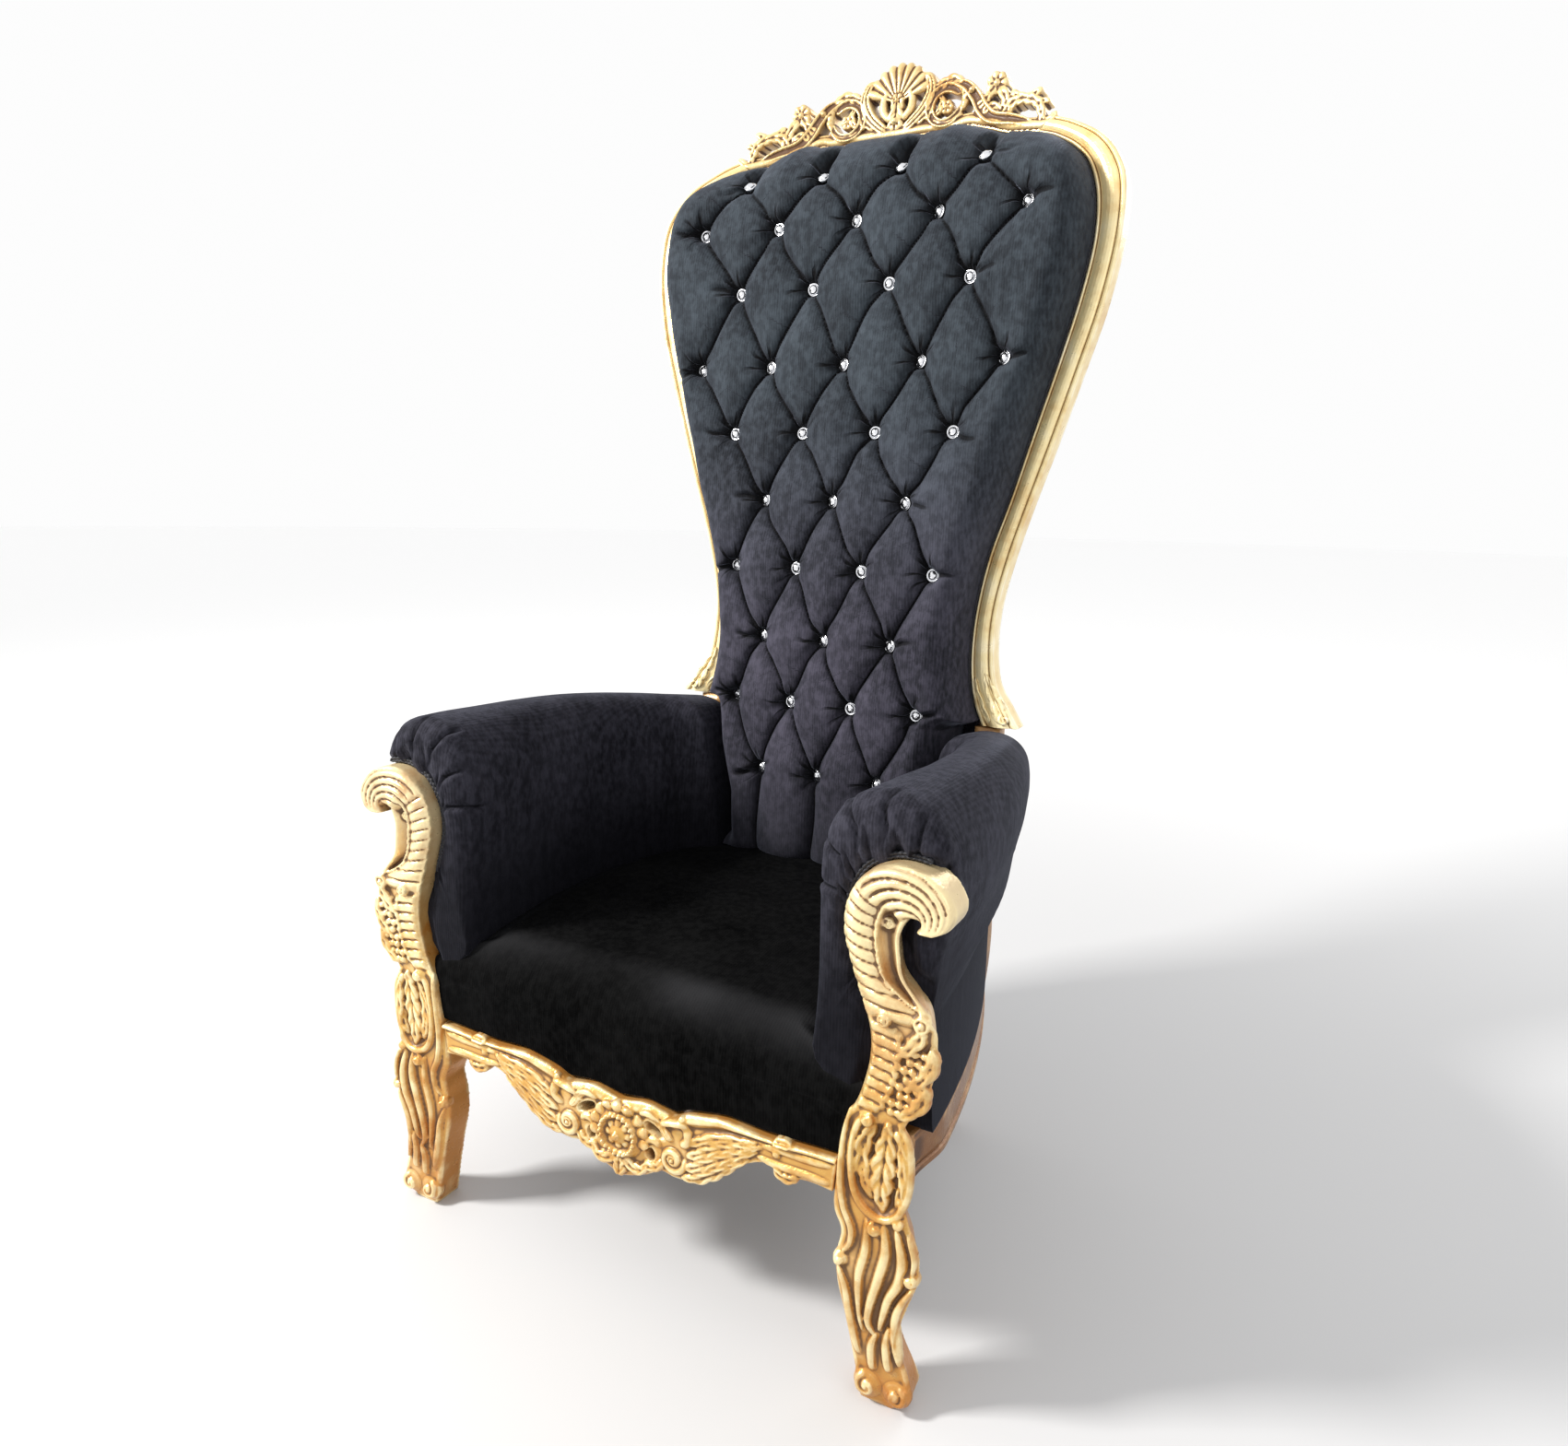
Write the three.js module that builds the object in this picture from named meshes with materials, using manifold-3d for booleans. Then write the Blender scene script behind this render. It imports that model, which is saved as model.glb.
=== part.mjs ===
// A high-backed throne: carved gilt frame, black velvet upholstery, crystal buttons.
//
// Millimetres, +Z up, +X the sitter's left, -Y the front. The pieces are laid out from the
// front plane of the toes (y = 0) and the finished group is moved back by FRONT_TO_ORIGIN, so
// that the origin is the middle of the footprint at floor level.
import * as THREE from 'three';
import { mergeVertices } from 'three/addons/utils/BufferGeometryUtils.js';
import Module from 'manifold-3d';

const wasm = await Module();
wasm.setup();

// ---- driving dimensions -------------------------------------------------------------------

const FRONT_TO_ORIGIN = 397.7;
const FIT = 0.5;
const CLOTH_GAP = 1.5;

// back: a leaning, slightly hollow surface that the frame, the pad and the buttons follow
const BACK_AT = 675.4;
const BACK_MIDDLE = 900;
const BACK_SLOPE = 0.0948;
const BACK_BEND = 0.0628 / 1000;
const BACK_WRAP = 60.2 / 400 ** 2;
const FRAME_DEPTH = 33;
const PANEL_GAP = 3;
const PANEL_AT = FRAME_DEPTH + PANEL_GAP;
const PANEL_THICK = 8;

// seat, rails and front posts
const RAIL_TOP = 325;
const RAIL_BOTTOM = 277;
const RAIL_THICK = 28;
const RAIL_REAR = 612;
const CLOTH_BOTTOM = 330;
const SEAT_TOP = 452;
const SEAT_CROWN = 24;
const SEAT_REAR = 604;
const POST_DEPTH = 45;
const POST_STATIONS = 38;
const APRON_DEPTH = 32;

// rolled arms
const ARM_FRONT = 12;
const ARM_REAR = 618;
const ARM_TOP_FRONT = 768;
const ARM_TOP_REAR = 714;
const ARM_TOP_RISE = 14;
const ROLL_SPRING = 653;
const CORNER_Z = 400;
const CORNER_Y = 60;
const ARM_ROLL_SIDES = 7;

// buttoned back
const PAD_BOTTOM = 486;
const PAD_TOP = 1676;
const PAD_EDGE_ROLL = 38;
const PAD_COLUMNS = 20;
const PAD_FIRST_COLUMN = -2.5;
const STILE_FOOT = 716;
const PAD_BESIDE_ARMS = [[PAD_BOTTOM, 187], [560, 190], [650, 213], [STILE_FOOT, 221]];
const PLEAT_DEPTH = 37;
const PIT_BELOW = 15;
const BUTTON_RADIUS = 12.5;
const BUTTON_HEIGHT = 7;
const BUTTON_ROWS = [
  { z: 1593, pitch: 139.5, count: 4 },
  { z: 1519, pitch: 143.3, count: 5 },
  { z: 1417, pitch: 137.1, count: 4 },
  { z: 1294, pitch: 136.7, count: 5 },
  { z: 1186, pitch: 133.2, count: 4 },
  { z: 1075.5, pitch: 129.6, count: 3 },
  { z: 964.2, pitch: 122.7, count: 4 },
  { z: 845.7, pitch: 119.8, count: 3 },
  { z: 736.6, pitch: 114.7, count: 4 },
  { z: 613.3, pitch: 112.1, count: 3 },
];

const GILT = new THREE.MeshStandardMaterial({ color: 0xd9b46a, roughness: 0.38, metalness: 0.75 });
const OLD_GILT = new THREE.MeshStandardMaterial({ color: 0x9a6233, roughness: 0.55, metalness: 0.35 });
const VELVET = new THREE.MeshStandardMaterial({ color: 0x17171b, roughness: 0.95, metalness: 0 });
const CRYSTAL = new THREE.MeshStandardMaterial({ color: 0xe8e8ee, roughness: 0.12, metalness: 0.4 });

// ---- outlines, seen from the front --------------------------------------------------------
// A rail pair is a row [inner x, inner z, outer x, outer z]; smooth curves pass through them.

const POST_PAIRS = [
  [364, 0, 408, 0], [359, 22, 430, 20], [353, 50, 427, 52], [345, 85, 413, 85],
  [338, 113, 411, 110], [328, 150, 421, 146], [325, 185, 434, 190], [331, 222, 433, 225],
  [321, 250, 421, 257], [322, 285, 411, 290], [328, 330, 404, 330], [333, 372, 406, 375],
  [348, 405, 419, 405], [357, 435, 434, 432], [362, 462, 442, 460], [362, 490, 444, 490],
  [355, 520, 440, 522], [343, 552, 420, 545], [333, 582, 401, 568], [326, 608, 396, 592],
  [326, 635, 394, 612], [334, 660, 397, 627], [350, 682, 402, 637], [374, 695, 407, 640],
  [400, 698, 412, 641], [426, 692, 416, 640], [446, 677, 418, 638], [457, 656, 418, 634],
  [452, 637, 416, 630], [437, 627, 412, 628],
];

const STILE_PAIRS = [
  [262, 718, 328, 722], [247, 748, 309, 748], [236, 790, 281, 790], [232, 850, 271, 852],
  [237, 920, 273.5, 915], [252, 1000, 290, 992], [279, 1085, 314, 1075], [307, 1185, 345, 1172],
  [337, 1290, 376, 1276], [361, 1385, 403, 1372], [374, 1465, 418, 1468], [371, 1530, 416, 1545],
  [354, 1580, 399, 1588], [328, 1611, 368, 1624], [292, 1634, 322, 1652], [262, 1645, 286, 1667],
];

const CREST_PAIRS = [
  [261, 1645.5, 285, 1667.5], [236, 1650, 246, 1672], [205, 1655, 213, 1678], [168, 1668, 172, 1691],
  [134, 1677, 136, 1700], [112, 1673, 108, 1698], [60, 1676, 58, 1699], [0, 1675, 0, 1700],
];

const APRON_HALF = [
  [0, 296, 0, 181], [42, 303, 40, 194], [66, 300, 65, 209], [88, 297, 88, 207],
  [108, 306, 112, 211], [140, 313, 140, 229], [166, 317, 168, 247], [220, 314, 220, 276],
  [256, 315, 256, 270], [290, 317, 290, 273], [325, 318, 319.6, 271],
];

// ---- solids and meshes --------------------------------------------------------------------

function toSolid(geometry) {
  const bare = geometry.clone();
  bare.deleteAttribute('normal');
  bare.deleteAttribute('uv');
  const merged = mergeVertices(bare, 1e-4);
  return new wasm.Manifold(new wasm.Mesh({
    numProp: 3,
    vertProperties: new Float32Array(merged.attributes.position.array),
    triVerts: new Uint32Array(merged.index.array),
  }));
}

function toGeometry(solid) {
  const mesh = solid.getMesh();
  const geometry = new THREE.BufferGeometry();
  geometry.setAttribute('position', new THREE.BufferAttribute(new Float32Array(mesh.vertProperties), 3));
  geometry.setIndex([...mesh.triVerts]);
  return geometry;
}

function join(geometries) {
  const [first, ...rest] = geometries.map(toSolid);
  return rest.reduce((sum, solid) => sum.add(solid), first);
}

// A closed skin over a list of rings, each ring the same number of points; the ends are fans
// around the middle of the first and last ring. Rings turn anticlockwise about their advance.
function loft(rings) {
  const count = rings[0].length;
  const points = rings.flat();
  const index = [];
  for (let s = 0; s < rings.length - 1; s += 1) {
    for (let k = 0; k < count; k += 1) {
      const a = s * count + k;
      const b = s * count + (k + 1) % count;
      index.push(a, b, b + count, a, b + count, a + count);
    }
  }
  for (const end of [0, rings.length - 1]) {
    const middle = points.length;
    points.push(rings[end].reduce((sum, p) => sum.add(p), new THREE.Vector3()).divideScalar(count));
    for (let k = 0; k < count; k += 1) {
      const a = end * count + k;
      const b = end * count + (k + 1) % count;
      index.push(...(end === 0 ? [middle, b, a] : [middle, a, b]));
    }
  }
  const geometry = new THREE.BufferGeometry().setFromPoints(points);
  geometry.setIndex(index);
  return turnedOut(geometry);
}

// Reverses the faces of a closed mesh whose enclosed volume comes out negative.
function turnedOut(geometry) {
  const place = geometry.attributes.position;
  const index = geometry.index.array;
  const [a, b, c] = [new THREE.Vector3(), new THREE.Vector3(), new THREE.Vector3()];
  let volume = 0;
  for (let i = 0; i < index.length; i += 3) {
    a.fromBufferAttribute(place, index[i]);
    b.fromBufferAttribute(place, index[i + 1]);
    c.fromBufferAttribute(place, index[i + 2]);
    volume += a.dot(b.cross(c));
  }
  if (volume < 0) {
    geometry.setIndex([...index].reverse());
  }
  return geometry;
}

function mirrored(geometry) {
  const twin = geometry.clone().applyMatrix4(new THREE.Matrix4().makeScale(-1, 1, 1));
  return turnedOut(twin);
}

function smooth(points) {
  return new THREE.CatmullRomCurve3(points, false, 'catmullrom', 0.5);
}

// The two smooth edges of a band given as rail pairs, each drawn in the x-z plane.
function rails(pairs) {
  return {
    inner: smooth(pairs.map(([x, z]) => new THREE.Vector3(x, 0, z))),
    outer: smooth(pairs.map(([, , x, z]) => new THREE.Vector3(x, 0, z))),
    spans: pairs.length - 1,
  };
}

// A band between two rails. front(k, t) is how far its face stands forward of base(x, z) at
// pair number k and fraction t across, depth(k) how far its back lies behind the base.
function band(pairs, { stations, across, base, front, depth, grow = 0 }) {
  const { inner, outer, spans } = rails(pairs);
  const rings = [];
  for (let s = 0; s <= stations; s += 1) {
    const k = (spans * s) / stations;
    const a = inner.getPoint(s / stations);
    const b = outer.getPoint(s / stations);
    const spread = b.clone().sub(a).setLength(grow);
    a.sub(spread);
    b.add(spread);
    const face = across.map((t) => {
      const p = a.clone().lerp(b, t);
      p.y = base(p.x, p.z) - front(k, t);
      return p;
    });
    const back = [b, a].map((p) => new THREE.Vector3(p.x, base(p.x, p.z) + depth(k), p.z));
    rings.push([...face, ...back]);
  }
  return loft(rings);
}

// A carved strand: a tapering rounded bar along a curve drawn in the x-z plane, half sunk in
// the face it lies on. path rows are [x, z, radius].
function strand(path, { base, lift, steps = 5, sides = 4, stretch = 1 }) {
  const curve = smooth(path.map(([x, z, r]) => new THREE.Vector3(x, r, z)));
  const rings = [];
  for (let s = 0; s <= steps; s += 1) {
    const at = curve.getPoint(s / steps);
    const along = curve.getTangent(s / steps).setY(0).normalize();
    const side = new THREE.Vector3(along.z, 0, -along.x);
    const radius = at.y;
    const ring = [];
    for (let k = 0; k < sides; k += 1) {
      const turn = (2 * Math.PI * k) / sides;
      const p = new THREE.Vector3(at.x, 0, at.z).addScaledVector(side, radius * Math.cos(turn));
      p.y = base(at.x, at.z) - lift - stretch * radius * Math.sin(turn);
      ring.push(p);
    }
    rings.push(ring);
  }
  return loft(rings);
}

// A round boss turned from a profile of [radius, height] rows and set facing forward.
function boss(profile, x, z, y, sides = 8) {
  const turned = new THREE.LatheGeometry(profile.map(([r, h]) => new THREE.Vector2(r, h)), sides);
  return turned.rotateX(Math.PI / 2).translate(x, y, z);
}

// A straight-sided hole cutter through the apron, centred at x, z.
function cutter(x, z, width, height, tilt) {
  const hole = new THREE.CylinderGeometry(1, 1, 200, 6).scale(width / 2, 1, height / 2);
  return hole.rotateY(tilt).translate(x, 0, z);
}

function ramp(value, low, high) {
  return THREE.MathUtils.smoothstep(value, low, high);
}

function interpolate(rows, at) {
  const last = rows.length - 1;
  if (at <= rows[0][0]) return rows[0][1];
  for (let i = 0; i < last; i += 1) {
    const [from, low] = rows[i];
    const [to, high] = rows[i + 1];
    if (at <= to) return low + ((high - low) * (at - from)) / (to - from);
  }
  return rows[last][1];
}

// ---- shared surfaces ----------------------------------------------------------------------

function flatFront() {
  return 0;
}

// Front face of the back frame at x, z.
function backFace(x, z) {
  const up = z - BACK_MIDDLE;
  return BACK_AT + BACK_SLOPE * up + BACK_BEND * up * up - BACK_WRAP * x * x;
}

function armInner(y, z) {
  const low = interpolate([[0, 272], [100, 285], [210, 297], [330, 295], [430, 278], [490, 248], [535, 196],
    [700, 194]], y);
  return low + 36 * ramp(y, 430, 535) * ((z - 470) / 250);
}

function quadratic(v, a, b, c) {
  return a * (1 - v) ** 2 + 2 * b * v * (1 - v) + c * v * v;
}

function armShare(y) {
  return (y - ARM_FRONT) / (ARM_REAR - ARM_FRONT);
}

function armOuter(y) {
  return quadratic(armShare(y), 441, 452, 352);
}

function armSide(y) {
  return quadratic(armShare(y), 419, 415, 293);
}

function armTop(y) {
  const v = armShare(y);
  return ARM_TOP_FRONT + (ARM_TOP_REAR - ARM_TOP_FRONT) * v + ARM_TOP_RISE * 4 * v * (1 - v);
}

// ---- carved front posts -------------------------------------------------------------------

// Relief of the post's face: ribbons on the leg, a leaf panel on the knee, a flower cluster
// above it, and the C-scroll's gadrooned inner band beside a hollow channel.
function postRelief(k, t) {
  const crown = 7 * Math.sqrt(Math.max(0, 4 * t * (1 - t)));
  const scroll = ramp(k, 15, 17);
  const ribs = Math.cos(2 * Math.PI * k * 1.5);
  const gadroon = (9 + 2 * ribs) * Math.sin(Math.PI * Math.min(1, t / 0.58));
  const channel = t < 0.58 ? 0 : -5 * Math.sin((Math.PI * (t - 0.58)) / 0.42);
  const reeds = 8 + 3 * Math.cos(2 * Math.PI * 3 * t);
  const head = ramp(k, 20.5, 22);
  const band = THREE.MathUtils.lerp(gadroon + channel, reeds * Math.sqrt(Math.max(0, 1 - t ** 4)), head);
  const panel = 7 * (ramp(k, 7.4, 8.4) - ramp(k, 10.6, 11.4)) * Math.sin(Math.PI * t) ** 0.5;
  const cluster = 6 * (ramp(k, 12, 12.8) - ramp(k, 15, 15.6)) * ramp(t, 0.4, 0.6) * ramp(1 - t, 0, 0.15);
  const ribbon = 3 * (1 - ramp(k, 6.8, 7.6)) * Math.cos(2 * Math.PI * (2 * t + 0.15 * k));
  const toe = 5 * (1 - ramp(k, 0.4, 2.2)) * Math.abs(Math.cos(2 * Math.PI * t));
  return THREE.MathUtils.lerp(crown + panel + cluster + ribbon + toe, band, scroll) - 2;
}

function postDepth(k) {
  return POST_DEPTH - 9 * (1 - ramp(k, 2, 6));
}

function postBand(stations, across, grow, front) {
  const depth = (k) => postDepth(k) + grow;
  return band(POST_PAIRS, { stations, across, base: flatFront, front, depth, grow });
}

function frontPost() {
  return postBand(POST_STATIONS, [0, 0.16, 0.36, 0.54, 0.66, 0.84, 1], 0, postRelief);
}

// The plain outline of the post, a little larger, that its neighbours are cut back from.
function postClearance() {
  return toSolid(postBand(POST_STATIONS, [0, 1], CLOTH_GAP, () => 40));
}

// ---- apron --------------------------------------------------------------------------------

function apronPairs() {
  const left = APRON_HALF.slice(1).reverse().map(([x, z, u, w]) => [-x, z, -u, w]);
  return [...left, ...APRON_HALF];
}

function apronRelief(k, t) {
  const bead = 5 * (1 - ramp(t, 0.12, 0.24));
  return bead + 3 * Math.sin(Math.PI * t);
}

function apronCarving() {
  const lay = { base: flatFront, lift: 5, steps: 4 };
  const short = { ...lay, steps: 3 };
  const right = [
    boss([[0, -4], [24, -4], [23, 12], [13, 9], [0, 15]], 88, 235, 0, 8),
    strand([[104, 222, 6], [130, 232, 10], [165, 255, 9], [205, 284, 4]], lay),
    strand([[112, 240, 6], [140, 258, 10], [175, 278, 8], [215, 296, 4]], lay),
    strand([[112, 262, 5], [138, 280, 8], [168, 294, 6], [205, 302, 3]], short),
    strand([[48, 292, 5], [62, 278, 7], [78, 262, 6], [88, 256, 4]], short),
    boss([[0, -4], [12, -4], [8, 9], [0, 10]], 253, 270, 0, 6),
    boss([[0, -3], [8, -3], [6, 6], [0, 8]], 250, 313, 0, 6),
  ];
  const medallion = boss([[0, -4], [38, -4], [36, 15], [28, 19], [22, 13], [0, 21]], 0, 247, 0, 10);
  const shell = [-60, -30, 0, 30, 60].map((angle) => {
    const turn = THREE.MathUtils.degToRad(angle);
    const reach = (r) => [r * Math.sin(turn), 250 + r * Math.cos(turn)];
    return strand([[...reach(32), 7], [...reach(42), 8], [...reach(48), 4]], { ...lay, steps: 2 });
  });
  return [...right, ...right.map(mirrored), medallion, ...shell];
}

function frontRail() {
  const across = [0, 0.14, 0.24, 1];
  const depth = () => APRON_DEPTH;
  const body = band(apronPairs(), { stations: 18, across, base: flatFront, front: apronRelief, depth });
  const holes = [[57, 267, 26, 9, 0.45], [51, 231, 10, 14, 0]];
  let solid = join([body, ...apronCarving()]);
  for (const [x, z, width, height, tilt] of holes) {
    solid = solid.subtract(toSolid(cutter(x, z, width, height, tilt)));
    solid = solid.subtract(toSolid(cutter(-x, z, width, height, -tilt)));
  }
  return toGeometry(solid);
}

// ---- rails and rear legs ------------------------------------------------------------------

// A bar of rectangular section through rows [x, y, z, width, depth].
function bar(rows) {
  return loft(rows.map(([x, y, z, width, depth]) => [[-1, -1], [1, -1], [1, 1], [-1, 1]].map(
    ([i, j]) => new THREE.Vector3(x + (i * width) / 2, y + (j * depth) / 2, z),
  )));
}

function sideRail() {
  const rings = [];
  for (const y of [POST_DEPTH + FIT, 230, 420, RAIL_REAR]) {
    const outside = armSide(y) - 20;
    rings.push([[0, RAIL_BOTTOM], [RAIL_THICK, RAIL_BOTTOM], [RAIL_THICK, RAIL_TOP], [0, RAIL_TOP]].map(
      ([inward, z]) => new THREE.Vector3(outside - inward, y, z),
    ));
  }
  return loft(rings);
}

function rearRail() {
  return bar([[0, 640, RAIL_BOTTOM, 490, RAIL_THICK], [0, 640, RAIL_TOP, 490, RAIL_THICK]]);
}

function rearLeg() {
  return bar([
    [238, 588, 0, 38, 44], [240, 590, 22, 42, 46], [243, 594, 48, 32, 38], [256, 612, 140, 36, 42],
    [267, 634, 240, 42, 46], [270, 643, RAIL_TOP, 46, 44], [270, 646, 420, 44, 44], [272, 648, 716, 44, 40],
  ]);
}

// ---- back frame ---------------------------------------------------------------------------

// Moulding across the frame: inner bead, quirk, broad rounded band, outer quirk and fillet.
function mouldingRelief(k, t) {
  return interpolate([[0, -1], [0.1, 3], [0.22, -2], [0.4, 5], [0.62, 6], [0.84, -4], [1, -2]], t);
}

function backStile() {
  const depth = () => FRAME_DEPTH;
  const across = [0, 0.1, 0.22, 0.4, 0.62, 0.84, 1];
  const moulding = band(STILE_PAIRS, { stations: 22, across, base: backFace, front: mouldingRelief, depth });
  const leaf = strand([[300, 730, 13], [284, 756, 12], [260, 794, 3]], { base: backFace, lift: 3, steps: 3 });
  return toGeometry(join([moulding, leaf]));
}

function crestCarving() {
  const lay = { base: backFace, lift: 2, stretch: 1.1 };
  const sink = { ...lay, lift: -6, stretch: 1.5, steps: 4 };
  const ring = [];
  for (let k = 0; k <= 8; k += 1) {
    const turn = 0.7 + (1.75 * Math.PI * k) / 8;
    ring.push([90 + 27 * Math.cos(turn), 1717 + 27 * Math.sin(turn), 9 - 0.2 * k]);
  }
  const right = [
    strand(ring, { ...sink, steps: 7 }),
    strand([[14, 1690, 10], [32, 1702, 11], [52, 1724, 12], [60, 1750, 11], [50, 1768, 8]], sink),
    strand([[112, 1748, 8], [136, 1733, 11], [152, 1708, 12], [170, 1688, 12], [204, 1676, 9]], sink),
    strand([[146, 1704, 9], [162, 1722, 10], [178, 1734, 10]], { ...sink, steps: 2 }),
    strand([[178, 1734, 11], [190, 1716, 11], [202, 1696, 10], [206, 1680, 9]], { ...sink, steps: 3 }),
    strand([[200, 1676, 9], [206, 1696, 10], [224, 1702, 10], [245, 1697, 9], [258, 1686, 9], [262, 1670, 8],
      [266, 1660, 6]], { ...sink, steps: 6 }),
    strand([[222, 1700, 7], [215, 1710, 6], [208, 1716, 2]], { ...sink, steps: 2 }),
    strand([[246, 1694, 7], [256, 1702, 5], [264, 1704, 2]], { ...sink, steps: 2 }),
    boss([[0, -18], [18, -18], [15, 6], [9, 5], [0, 12]], 179, 1735, backFace(179, 1735)),
  ];
  const shell = [-64, -32, 0, 32, 64].map((angle) => {
    const turn = THREE.MathUtils.degToRad(angle);
    const reach = (r) => [0.8 * r * Math.sin(turn), 1740 + r * Math.cos(turn)];
    return strand([[...reach(0), 9], [...reach(26), 14], [...reach(50), 12], [...reach(60), 5]],
      { ...sink, steps: 3 });
  });
  const heart = strand([[0, 1690, 18], [0, 1712, 18], [0, 1740, 16]], { ...lay, lift: -4, steps: 2 });
  return [...right, ...right.map(mirrored), ...shell, heart];
}

function crestRail() {
  const far = CREST_PAIRS.slice(0, -1).map(([x, z, u, w]) => [-x, z, -u, w]);
  const pairs = [...far, ...CREST_PAIRS.slice().reverse()];
  const depth = () => FRAME_DEPTH - 6;
  const across = [0, 0.1, 0.22, 0.5, 1];
  const moulding = band(pairs, { stations: 16, across, base: backFace, front: mouldingRelief, depth });
  return toGeometry(join([moulding, ...crestCarving()]));
}

// ---- buttoned back ------------------------------------------------------------------------

function padHalfWidth(z) {
  const free = rails(STILE_PAIRS).inner;
  let half = 0;
  for (let s = 0; s <= 60; s += 1) {
    const p = free.getPoint(s / 60);
    const q = free.getPoint(Math.min(1, (s + 1) / 60));
    if (p.z <= z && z <= q.z) {
      half = Math.max(half, THREE.MathUtils.lerp(p.x, q.x, (z - p.z) / (q.z - p.z)));
    }
  }
  return half;
}

// Outline of the pad: between the arms below, inside the frame above.
function padOutline() {
  const stile = rails(STILE_PAIRS).inner;
  const crest = rails(CREST_PAIRS).inner;
  const half = PAD_BESIDE_ARMS.map(([z, x]) => [x, z]);
  for (let s = 3; s <= 30; s += 1) {
    const p = stile.getPoint(s / 30);
    const inward = stile.getTangent(s / 30);
    half.push([p.x - 2.5 * inward.z, p.z + 2.5 * inward.x]);
  }
  for (let s = 1; s <= 12; s += 1) {
    const p = crest.getPoint(s / 12);
    half.push([p.x, p.z - 2.5]);
  }
  return half;
}

function buttonPlane(x, z) {
  const half = 230 + 140 * THREE.MathUtils.clamp((z - 850) / 600, 0, 1);
  return 104.2 - 38.9 * (x / half) ** 2;
}

// Position in the staggered button lattice: row counts down from the top row, across counts
// buttons sideways from the middle.
function lattice(x, z) {
  const rows = BUTTON_ROWS;
  const last = rows.length - 1;
  let row = 0;
  while (row < last - 1 && z < rows[row + 1].z) row += 1;
  const share = (rows[row].z - z) / (rows[row].z - rows[row + 1].z);
  const inside = THREE.MathUtils.clamp(share, 0, 1);
  const pitch = THREE.MathUtils.lerp(rows[row].pitch, rows[row + 1].pitch, inside);
  const count = THREE.MathUtils.lerp(rows[row].count, rows[row + 1].count, inside);
  return { row: row + share, across: x / pitch, limit: (count - 1) / 2 };
}

// Height of the pillows, 0 at a button and 1 at the middle of a diamond.
function pillow(x, z) {
  const { row, across, limit } = lattice(x, z);
  const a = Math.abs(Math.sin(Math.PI * (across + (row + 1) / 2)));
  const b = Math.abs(Math.sin(Math.PI * (across - (row + 1) / 2)));
  const tufted = 0.6 * Math.sqrt(a * b) + 0.4 * (1 - (1 - a) * (1 - b));
  const beyond = Math.max(Math.abs(across) - limit - 0.1, 0.6 * -row, 0.6 * (row - BUTTON_ROWS.length + 1));
  return THREE.MathUtils.lerp(tufted, 0.8, ramp(beyond, 0.05, 0.45));
}

function padForward(x, z) {
  const half = z < STILE_FOOT ? interpolate(PAD_BESIDE_ARMS, z) : padHalfWidth(z);
  const top = PAD_TOP - 0.09 * Math.abs(x);
  const edge = Math.min(half - Math.abs(x), top - z) / PAD_EDGE_ROLL;
  const roll = Math.sqrt(THREE.MathUtils.clamp(edge * (2 - Math.min(edge, 1)), 0.02, 1));
  const across = THREE.MathUtils.clamp(x, -half, half);
  return (buttonPlane(across, z) - PIT_BELOW + PLEAT_DEPTH * pillow(across, z)) * roll;
}

// The pad's points lie on the buttons, the middles of the diamonds and the folds between them:
// each half row is shifted a quarter of the pitch from the one below it.
function backPad() {
  const last = BUTTON_ROWS.length - 1;
  const levels = [[PAD_BOTTOM - 10, 0], [530, 0], [571, 0]];
  for (let half = 0; half <= 2 * last; half += 1) {
    const row = last - half / 2;
    levels.push([(BUTTON_ROWS[Math.ceil(row)].z + BUTTON_ROWS[Math.floor(row)].z) / 2, half]);
  }
  levels.push([1622, 2 * last], [1651, 2 * last], [1690, 2 * last]);
  const rings = levels.map(([z, half]) => {
    const pitch = 1 / lattice(1, THREE.MathUtils.clamp(z, BUTTON_ROWS[last].z, BUTTON_ROWS[0].z)).across;
    const front = [];
    const back = [];
    for (let c = 0; c <= PAD_COLUMNS; c += 1) {
      const x = (PAD_FIRST_COLUMN + c / 2 - half / 4) * pitch;
      front.push(new THREE.Vector3(x, backFace(x, z) - padForward(x, Math.max(z, PAD_BOTTOM)), z));
      if (c % 3 === 1) back.push(new THREE.Vector3(x, backFace(x, z) + FRAME_DEPTH - 3, z));
    }
    return [...front, ...back.reverse()];
  });
  const outline = padOutline();
  const shape = new THREE.Shape();
  outline.forEach(([x, z], i) => (i === 0 ? shape.moveTo(x, z) : shape.lineTo(x, z)));
  outline.slice(0, -1).reverse().forEach(([x, z]) => shape.lineTo(-x, z));
  const prism = new THREE.ExtrudeGeometry(shape, { depth: 700, bevelEnabled: false });
  prism.rotateX(Math.PI / 2).translate(0, 1000, 0);
  return toGeometry(toSolid(loft(rings)).intersect(toSolid(prism)));
}

function button(x, z) {
  const profile = [[0, 0], [BUTTON_RADIUS, 1.5], [0, BUTTON_HEIGHT]];
  const shape = new THREE.LatheGeometry(profile.map(([r, h]) => new THREE.Vector2(r, h)), 8);
  const level = (u, w) => backFace(u, w) - buttonPlane(u, w);
  const slopeX = (level(x + 1, z) - level(x - 1, z)) / 2;
  const slopeZ = (level(x, z + 1) - level(x, z - 1)) / 2;
  const forward = new THREE.Vector3(slopeX, -1, slopeZ).normalize();
  const turn = new THREE.Quaternion().setFromUnitVectors(new THREE.Vector3(0, 1, 0), forward);
  return shape.applyQuaternion(turn).translate(x, level(x, z) - 1, z);
}

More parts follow.
